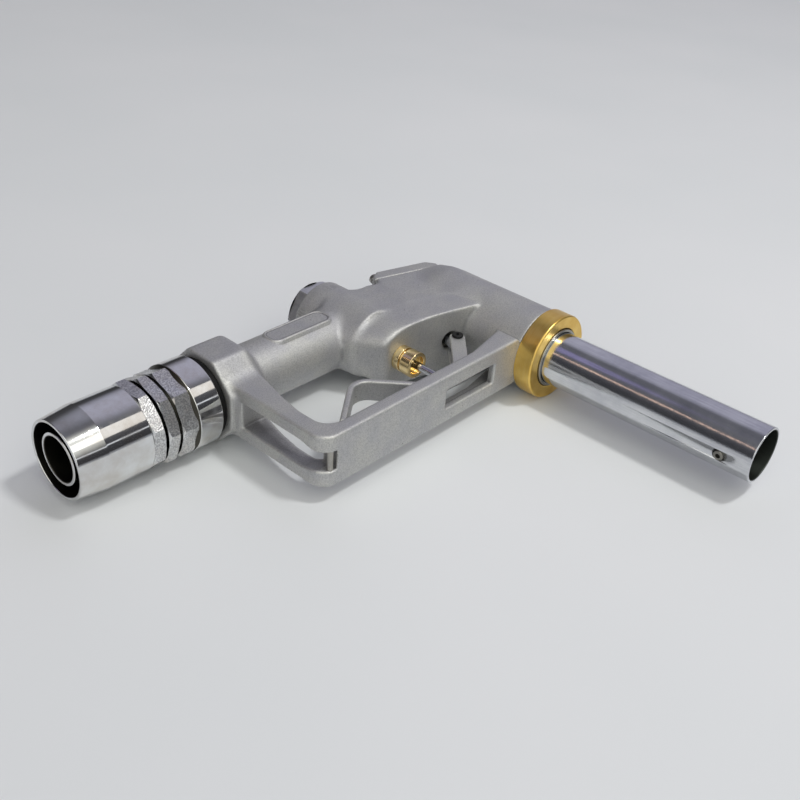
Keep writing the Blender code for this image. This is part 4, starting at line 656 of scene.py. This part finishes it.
def body_form(x, y, z):
    across, along = latch_place(x, y)
    from_grip = np.hypot(y, z)
    from_valve = np.hypot(x - VALVE_X, z)
    from_spout = np.hypot(x - SPOUT_X, z)
    # Eight-sided boss with a sloping shoulder, and the grip
    eight = meet(meet(np.abs(y), np.abs(z), 1.5), (np.abs(y) + np.abs(z)) / math.sqrt(2), 1.5) - 28
    boss = meet(pushed(eight, x, 97.5, 130, 1.2), (eight + (x - 123.5) * 1.68) * 0.51, 3)
    form = run_in(boss, rod(from_grip, 19.9, x, 105, VALVE_X), 3.5)
    # Valve chamber and housing share their flat faces; the cap boss and the nose run into them
    housing = plate(across, along, (-23.5, 30), (30.5, 84))
    block = meet(run_in(valve_chamber(x, y, z), housing, 5), np.abs(z) - 23, 2.2)
    block = carve(block, np.maximum(68 - along, np.abs(across - 3.5) - 34), 0.4)
    block = run_in(block, rod(from_valve, 24, y, -24.5, CAP_SEAT, 1.0), 6)
    form = run_in(form, block, 2.5)
    dome = np.sqrt((x - SPOUT_X) ** 2 + z ** 2 + np.maximum(y + 22, 0) ** 2) - 27.5
    form = run_in(form, meet(dome, -101.4 - y, 1.2), 2 + 6 * np.clip((-1.5 - front_wall(x, y)) / 18, 0, 1))
    form = carve(form, np.maximum(np.maximum(68 - along, across - 30.8), -26 - across), 0.4)
    form = np.minimum(form, rod(from_spout, 24, -y, 60, 107.8, 0.4))
    # Guard: slotted rear leg, front leg with a window, and the bridge to the nose
    guard = pushed(flat_distance(x, y, [p[:2] for p in GUARD]), z, -17.2, 17.2, 1.7)
    narrows = np.clip((-80 - y) / 14, 0, 1) * np.clip((120 - x) / 6, 0, 1)
    opening = np.abs(z) - 8.6 + 2.2 * narrows * narrows * (3 - 2 * narrows)
    guard = carve(guard, meet(flat_distance(x, y, GUARD_SLOT), opening, 1.0), 1.2)
    guard = carve(guard, rod(np.hypot(x - 110.2, y + 97.4), 3.2, z, -6.4, 6.4), 0.5)
    guard = carve(guard, pushed(plate(x, z, (205.05, -7.05), (251.55, 7.05)), y, -112, -88, 0.5), 1.2)
    form = run_in(form, guard, 4.0)
    form = run_in(form, pushed(plate(x, y, (268, -100), (287, -87)), z, -8.8, 8.8, 0.5), 3)
    # Machined bores
    form = carve(form, rod(from_grip, 22.1, x, 80, 115.3), 0.8)
    form = carve(form, rod(from_grip, 14.8, x, 100, VALVE_X), 0.6)
    for radius, low, high in ((6.5, -70, -37), (14.5, -37, -20), (11.3, -20, -16), (18.5, -16, 70)):
        form = carve(form, rod(from_valve, radius, y, low, high), 0.5)
    for radius, low, high in ((16, 16, 88.7), (18.4, 88.7, 150), (20.4, 97.3, 99.7)):
        form = carve(form, rod(from_spout, radius, -y, low, high), 0.5)
    form = carve(form, rod(np.hypot(y + 28.5, z), 10, x, VALVE_X, SPOUT_X), 0.6)
    from_latch = np.hypot(across, z)
    for radius, low, high in ((6.5, -5.5, 12), (8.3, 10.3, 59), (18, 59, 66.6), (21.3, 66.6, 140)):
        form = carve(form, rod(from_latch, radius, along, low, high), 0.5)
    for s, side in SCREWS:
        form = carve(form, rod(np.hypot(across - s, z - side), 2.2, along, 58.7, 140), 0.4)
    # A pore left open in the upper face
    return carve(form, np.sqrt((x - 229.3) ** 2 + (y + 34.3) ** 2 + (z - 23.0) ** 2) - 1.2, 0.3)


def lever_outline():
    """Bent strip seen from the side: the upper run of corners, and the same run a strip's thickness below."""
    top = [Vector(p) for p in ((133.8, -80), (164.5, -56), (176, -56), (201.5, -84), (267.5, -84))]
    below = []
    for i, point in enumerate(top):
        before = (point - top[i - 1]).normalized() if i else (top[1] - point).normalized()
        after = (top[i + 1] - point).normalized() if i < len(top) - 1 else before
        normal = Vector((before.y + after.y, -before.x - after.x)).normalized()
        below.append(point + normal * (4 / normal.dot(Vector((before.y, -before.x)))))
    loop = [(*p, r) for p, r in zip(below, (0, 9, 9, 13, 0))]
    loop += [(*p, r) for p, r in reversed(list(zip(top, (0, 13, 13, 9, 0))))]
    return [p[:2] for p in rounded(loop, 10)]


LEVER = lever_outline()


def lever_form(x, y, z):
    """The strip with its two ears, which lean forward to the pivot."""
    form = pushed(flat_distance(x, y, LEVER), z, -7, 7, 1.1)
    share = np.clip(((x - 262) * -26 + (y + 61) * -25) / 1301, 0, 1)
    ear = np.hypot(x - 262 + 26 * share, y + 61 + 25 * share) - 5.2
    ear = np.maximum(ear, -88 - y)
    for side in (1, -1):
        form = run_in(form, pushed(ear, z * side, 4.1, 6.7, 0.6), 1.2)
    return carve(form, rod(np.hypot(x - 262, y + 61), 2.5, z, -20, 20), 0.3)


def cover_form(x, y, z):
    """Cover with sloping corners, its cavity and four sunk screw seats."""
    across, along = latch_place(x, y)
    form = meet(flat_distance(across, along, COVER), np.abs(z) - 22.8, 2.2)
    form = meet(form, 68.3 - along, 0.3)
    form = carve(form, rod(np.hypot(across, z), 17, along, 50, 75.5), 0.4)
    for s, side in SCREWS:
        reach = np.hypot(across - s, z - side)
        form = carve(form, rod(reach, 2.2, along, 50, 100), 0.3)
        form = carve(form, rod(reach, 3.9, along, 74.2, 100), 0.6)
    return form


def pad_form(x, y, z):
    """Bare raised pad on the grip, with a narrow rim round its sunk face."""
    oval = np.hypot(np.maximum(np.abs(x - 174.5) - 19, 0), np.maximum(np.abs(y) - 1.6, 0)) - 6
    form = meet((oval + 0.5 * (z - 20.5)) / 1.12, np.maximum(z - 20.5, 17 - z), 0.8)
    return carve(form, pushed(oval + 1.3, z, 20.0, 30), 0.3)


# The body takes dirt at the housing seam and painted shade inside the guard's slot.
body = skinned(body_form, (94, -112, -32), (332, 37, 32), 0.85, seam_dirt_and_slot_shade)
pad = skinned(pad_form, (146, -12, 16), (203, 12, 22), 0.35)
piece("cast_body", [body, pad], "nozzle", ["nozzle_body"])
lever = skinned(lever_form, (128, -96, -9), (272, -50, 9), 0.6)
piece("cast_lever", [lever], "lever", ["lever"])
cover = skinned(cover_form, (240, -14, -25), (318, 30, 25), 0.6, seam_dirt_and_slot_shade)
piece("cast_cover", [cover], "nozzle", ["diaphragm_cover"])


# Hose end: ferrule with its flats, tail and swivel nut

def flats(low, high, bore, turn=0.0):
    """Eight forged flats on a ring whose ends are turned to a cone, so that each flat ends in a bow."""
    half, face, lean, columns = 25.35, 25.6, 0.55, 192
    spots, faces = [], []
    for k in range(columns):
        angle = 2 * math.pi * k / columns
        reach = half / math.cos(angle % (math.pi / 4) - math.pi / 8)
        rim, ease = min(face, reach), max(reach - face, 0) * lean
        for r, s in ((bore, low), (rim, low), (reach, low + ease), (reach, high - ease), (rim, high), (bore, high)):
            spots.append((r * math.cos(angle), r * math.sin(angle), s))
        here, there = 6 * k, 6 * ((k + 1) % columns)
        faces += [(here + i, here + (i + 1) % 6, there + (i + 1) % 6, there + i) for i in range(6)]
    mesh = bpy.data.meshes.new("flats")
    mesh.from_pydata(spots, [], faces)
    forged = mesh.attributes.new("forged", 'FLOAT', 'FACE')
    forged.data.foreach_set("value", [float(n % 6 == 2) for n in range(len(faces))])
    mesh.materials.append(BRIGHT)
    tidy(mesh)
    mesh.shade_smooth()
    mesh.set_sharp_from_angle(angle=math.radians(20))
    mesh.transform(INLET @ Matrix.Rotation(turn, 4, 'Z'))
    return mesh


# The ferrule's inside is painted dark as shade.
ferrule = turned([(23.9, 0, 0.5), (26, 18, 3), (26, 45.4, 0.3), (22.2, 45.4), (22.2, 47), (16.1, 47), (16.1, 41.8),
                  (22.2, 41.8), (22.2, 18), (22.0, 0, 0.5)], INLET, BRIGHT, 192, dull_and_shaded=lambda r, s: r < 22.3 and s > 0.6)
piece("ferrule", [ferrule, flats(45.6, 53.3, 16.4, math.radians(24))], "hose_end", ["hose_ferrule"])
# The tail's bore is painted dark as shade.
piece("tail", [turned([(15.8, 1.4, 0.5), (15.8, 57.4), (21.2, 57.4, 0.3), (21.2, 60.6, 0.3), (13.6, 60.6),
                       (13.6, 1.4, 0.5)], INLET, BRIGHT, 144, dull_and_shaded=lambda r, s: r < 14.2)],
      "hose_end", ["hose_tail"])
piece("union_nut", [flats(55.3, 62.7, 16.1, math.radians(-6))], "hose_end", ["swivel_nut"])
# The adaptor's end, its bore and the step beside its flats are painted dark as shade.
adaptor = turned([(20.9, 61.7), (20.9, 74), (25.1, 74), (27.6, 76.2, 0.6), (27.6, 92.2, 0.6), (21.8, 92.2),
                  (21.8, 114.7, 0.5), (14, 114.7), (14, 61.7)], INLET, BRIGHT, 192, dull_and_shaded=lambda r, s: s < 76)
piece("adaptor", [adaptor, flats(64.7, 75.6, 14.3, math.radians(-5))], "nozzle", ["inlet_adaptor"])
piece("inlet_ring", [turned([(25.3, 92.4, 1.4), (25.3, 97.2, 1.4), (22.1, 97.2, 0.4), (22.1, 92.4, 0.4)], INLET, RUBBER,
                            144)], "nozzle", ["inlet_oring"])

# Valve cap, gland and stem
cap_top = [(21.3 - 1.4 * k / 4, 37.8 + 1.0 * k / 4, 0, 18.5) for k in range(5)]
piece("cap", [turned([(0, 26.5), (18.2, 26.5, 0.4), (18.2, CAP_SEAT + 0.2), (20.9, CAP_SEAT + 0.2, 0.4),
                      (20.9, CAP_SEAT + 1.6, 0.4), (21.36, CAP_SEAT + 1.6, 0, 18.5), *cap_top, (0, 38.8)],
                     VALVE, MACHINED, 144, 6)], "nozzle", ["valve_cap"])
piece("gland", [turned([(8.8, -61.5, 0.5), (8.8, -53.6, 0.5), (7.0, -53.6, 0.3), (7.0, -52.0, 0.3), (8.6, -52.0, 0.5),
                        (8.6, -47.0, 0.3), (6.2, -47.0), (6.2, -41, 0.3), (2.7, -41), (2.7, -58.1), (6.2, -58.1, 0.5),
                        (6.2, -61.5, 0.4)], VALVE, BRASS, 96)], "nozzle", ["gland_nut"])
piece("stem_rod", [turned([(0, -83.7), (1.0, -83.7, 0.3), (2.4, -82.2, 0.3), (2.4, -0.4, 0.3), (0, -0.4)], VALVE, STEEL,
                          64)], "stem", ["valve_stem"])

# Spout, its nut and collar, and the port near its end
PORT = SPOUT @ Matrix.Translation((0, 0, 244)) @ Matrix.Rotation(math.radians(7), 4, 'Z') @ \
    Matrix.Rotation(-math.pi / 2, 4, 'Y')
piece("spout_ring", [turned([(29.25, 101.7, 1.0), (29.25, 115.4, 1.3), (20.6, 115.4, 0.8), (20.6, 112, 0.2),
                             (24.3, 112), (24.3, 101.7, 0.4)], SPOUT, GOLD, 192)],
      "nozzle", ["spout_nut"])
piece("collar", [turned([(23.6, 108.5), (23.6, 111.7), (20.2, 111.7), (20.2, 116.4, 0.7), (18.3, 116.4, 0.4),
                         (18.3, 108.5)], SPOUT, COLLAR, 144)], "nozzle", ["spout_collar"])
# The tube's bore is painted dark as shade.
tube = turned([(18, 89), (18, 263.7, 0.5), (16.2, 263.7, 0.5), (16.2, 89)], SPOUT, ZINC, 192,
              dull_and_shaded=lambda r, s: r < 17)
spout = piece("spout", [tube], "nozzle", ["spout_tube"])
port = turned([(0, 13.4), (3.3, 13.4, 0.3), (3.3, 18.4, 0.6), (1.74, 18.4, 0, 1.5), (1.74, 15.4, 0, 1.5), (0, 15.4)],
              PORT, DARK_STEEL_AND_SHADE, 72, 6)
piece("port", [port], "nozzle", ["sensing_port"])
drill = bpy.data.objects.new("drill", turned([(0, 9), (3.8, 9), (3.8, 30), (0, 30)], PORT, ZINC, 64))
bpy.context.scene.collection.objects.link(drill)
hole = spout.modifiers.new("port_hole", 'BOOLEAN')
hole.object = drill
hole.solver = 'EXACT'
spout.data = bpy.data.meshes.new_from_object(spout.evaluated_get(bpy.context.evaluated_depsgraph_get()))
spout.data.name = "spout"
spout.modifiers.clear()
bpy.data.objects.remove(drill, do_unlink=True)

# Pins and cover screws
piece("pin_in_guard", [turned([(0, -8.2), (1.9, -8.2, 0.2), (1.9, 8.2, 0.2), (0, 8.2)],
                              TO_FRAME @ Matrix.Translation((109.6, -97.8, 0)), ZINC_PIN, 48)],
      "nozzle", ["guard_pin"])
piece("pin_in_lever", [turned([(0, -6.7), (2.2, -6.7, 0.2), (2.2, 7.0), (3.8, 7.0, 0.2), (3.8, 8.4, 0.5),
                               (1.27, 8.4, 0, 1.1), (1.27, 7.5, 0, 1.1), (0, 7.5)], PIN, BLACK, 72, 6)],
      "plunger", ["lever_pin"])
one = bpy.data.objects.new("one_screw", turned([(0, 59), (1.9, 59, 0.3), (1.9, 74.5), (3.5, 74.5, 0.3), (3.5, 77.9, 0.5),
                                                (1.74, 77.9, 0, 1.5), (1.74, 75.7, 0, 1.5), (0, 75.7)],
                                               Matrix.Identity(4), ZINC_PIN, 48, 6))
bpy.context.scene.collection.objects.link(one)
places = bpy.data.meshes.new("screw_places")
places.from_pydata([(s, side, 0) for s, side in SCREWS], [], [])
screws = grown(screw_tree(), places, Screw=one, Finish=ZINC_PIN)
bpy.data.objects.remove(one, do_unlink=True)
screws.transform(LATCH)
piece("cover_screws", [screws], "nozzle", ["cover_screw_%d" % n for n in (1, 2, 3, 4)])


def spring(name, axis, wire, curls):
    """Wire spring in the place of its solid."""
    spots = [axis.inverted() @ v.co for v in frame["nodes"][name].data.vertices]
    low, high = min(p.z for p in spots), max(p.z for p in spots)
    mean = max(math.hypot(p.x, p.y) for p in spots) - wire
    blank = bpy.data.meshes.new("blank")
    mesh = grown(COIL, blank, Curls=float(curls), Points=40, Finish=SPRING, **{
        "Mean radius": mean, "Wire radius": wire, "Rise": high - low - 2 * wire})
    mesh.transform(axis @ Matrix.Translation((0, 0, low + wire)))
    tidy_normals = bmesh.new()
    tidy_normals.from_mesh(mesh)
    bmesh.ops.recalc_face_normals(tidy_normals, faces=tidy_normals.faces)
    tidy_normals.to_mesh(mesh)
    tidy_normals.free()
    made = piece("wound_" + name, [mesh], "nozzle", [name])
    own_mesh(made)


spring("main_spring", VALVE, 1.1, 5)
spring("plunger_spring", LATCH, 0.4, 7)
spring("diaphragm_spring", LATCH, 0.4, 3)
spring("check_spring", SPOUT, 0.4, 5)

# Everything that keeps its CAD shape takes its finish here
KEPT = {"brass": BRASS, "steel": STEEL, "spring_steel": SPRING, "black_rubber": RUBBER, "zinc_plate": ZINC_PIN,
        "bright_plate": BRIGHT, "cast_aluminium": CAST, "gold_anodised": GOLD, "black_steel": BLACK}
for subpart in frame["record"]["subparts"]:
    for place in frame["nodes"][subpart["node"]].material_slots:
        # The plunger guide, brass in the record, takes the dark steel instead, as painted shade.
        place.material = DARK_STEEL_AND_SHADE if subpart["node"] == "plunger_guide" else KEPT[subpart["material_slot"]]


# Studio

def lamp(name, towards, distance, wide, tall, power, code):
    """Oval soft lamp that faces the middle of the floor."""
    made = bpy.data.lights.new(name, 'AREA')
    made.shape = 'ELLIPSE'
    made.size, made.size_y = wide, tall
    made.energy = power
    made.color = linear(code)[:3]
    held = bpy.data.objects.new(name, made)
    direction = Vector(towards).normalized()
    turn = direction.to_track_quat('Z', 'Y').to_matrix().to_4x4()
    held.matrix_world = Matrix.Translation(direction * distance) @ turn
    bpy.context.scene.collection.objects.link(held)


def floor():
    """Pale paper that runs far past the picture."""
    mesh = bpy.data.meshes.new("floor")
    mesh.from_pydata([(-8, -8, 0), (8, -8, 0), (8, 8, 0), (-8, 8, 0)], [], [(0, 1, 2, 3)])
    made = bpy.data.objects.new("floor", mesh)
    bpy.context.scene.collection.objects.link(made)
    paper, tree, shader, where = finish("pale_paper", {"Roughness": 0.6})
    cloud = node(tree, "ShaderNodeTexNoise", {"Vector": where, "Scale": per_mm(260), "Detail": 2.0})
    share = node(tree, "ShaderNodeMapRange", {"Value": cloud, "From Min": 0.3, "From Max": 0.7})
    base = node(tree, "ShaderNodeMix", {"Factor": share, "A": "#DCDFE2", "B": "#E0E2E5"}, data_type='RGBA')
    tree.links.new(base.outputs[2], shader.inputs["Base Color"])
    mesh.materials.append(paper)


def room():
    """Dim room round the table, with a pale wall behind the object and a bright one behind the camera."""
    world = bpy.data.worlds.new("room")
    bpy.context.scene.world = world
    world.use_nodes = True
    tree = world.node_tree
    tree.nodes.clear()
    way = node(tree, "ShaderNodeTexCoord").outputs["Generated"]
    x, y, z = node(tree, "ShaderNodeSeparateXYZ", {0: way}).outputs
    sky = node(tree, "ShaderNodeValToRGB", {0: z})
    stops = sky.color_ramp.elements
    stops[0].position, stops[0].color = 0.0, linear("#77797D")
    stops[1].position, stops[1].color = 1.0, linear("#505056")
    for at, code in ((0.035, "#6A6B6F"), (0.08, "#2A2A2C"), (0.4, "#343437"), (0.65, "#4A4A4E")):
        stops.new(at).color = linear(code)
    seen = sky
    # Each patch is (turn, height, full within, gone past) in degrees, and its colour at half strength
    patches = ((21, 37, 22, 43, "#83828E"), (122, 53, 5, 13, "#6F6A88"), (202, 38, 14, 32, "#D0D0D4"),
               (-128, 44, 28, 50, "#D2D2CC"))
    for turn, height, full, gone, code in patches:
        turn, height = math.radians(turn), math.radians(height)
        middle = (math.cos(turn) * math.cos(height), math.sin(turn) * math.cos(height), math.sin(height))
        near = node(tree, "ShaderNodeVectorMath", {0: way, 1: middle}, operation='DOT_PRODUCT').outputs["Value"]
        near = node(tree, "ShaderNodeMapRange", {"Value": near, "From Min": math.cos(math.radians(gone)),
                                                 "From Max": math.cos(math.radians(full))},
                    interpolation_type='SMOOTHSTEP')
        seen = node(tree, "ShaderNodeMix", {"Factor": near, "A": seen, "B": code}, data_type='RGBA')
    # Two thin level strips: one low in front of the object, one warm and higher behind its left end
    for middle, low, high, edge, code in (((0.42, -0.91, 0), 0.315, 0.375, 0.8, "#B4B6BA"),
                                          ((-0.92, 0.39, 0), 0.59, 0.64, 0.66, "#F2CDB6")):
        rise = node(tree, "ShaderNodeMapRange", {"Value": z, "From Min": low, "From Max": low + 0.02})
        fall = node(tree, "ShaderNodeMapRange", {"Value": z, "From Min": high, "From Max": high - 0.02})
        near = node(tree, "ShaderNodeVectorMath", {0: way, 1: middle}, operation='DOT_PRODUCT').outputs["Value"]
        near = node(tree, "ShaderNodeMapRange", {"Value": near, "From Min": edge, "From Max": edge + 0.06})
        strip = node(tree, "ShaderNodeMath", {0: rise, 1: fall}, operation='MULTIPLY')
        strip = node(tree, "ShaderNodeMath", {0: strip, 1: near}, operation='MULTIPLY')
        seen = node(tree, "ShaderNodeMix", {"Factor": strip, "A": seen, "B": code}, data_type='RGBA')
    light = node(tree, "ShaderNodeBackground", {"Color": seen, "Strength": 2.0})
    node(tree, "ShaderNodeOutputWorld", {"Surface": light})


def camera():
    """Lens and place found from the photograph's own perspective."""
    lens = bpy.data.cameras.new("camera")
    lens.sensor_width = 36
    lens.lens = 36 * 1035.7 / 800
    lens.clip_start = 0.01
    made = bpy.data.objects.new("camera", lens)
    yaw, pitch, roll = (math.radians(a) for a in (40.24, 32.64, 4.59))
    look = Vector((math.cos(yaw) * math.cos(pitch), math.sin(yaw) * math.cos(pitch), -math.sin(pitch)))
    right = Vector((math.sin(yaw), -math.cos(yaw), 0))
    up = right.cross(look)
    right, up = right * math.cos(roll) + up * math.sin(roll), up * math.cos(roll) - right * math.sin(roll)
    made.matrix_world = Matrix((right, up, -look)).transposed().to_4x4()
    made.location = TO_FRAME @ Vector((-220.1, -423.7, 338.9))
    bpy.context.scene.collection.objects.link(made)
    bpy.context.scene.camera = made


bpy.context.scene.view_settings.view_transform = 'Standard'
floor()
room()
lamp("key", (0.22, -0.37, 0.96), 2.2, 0.3, 0.3, 16, "#FFFFFC")
lamp("softbox", (0.32, -0.57, 0.766), 2.0, 1.4, 0.8, 2.6, "#FFF9F0")
camera()
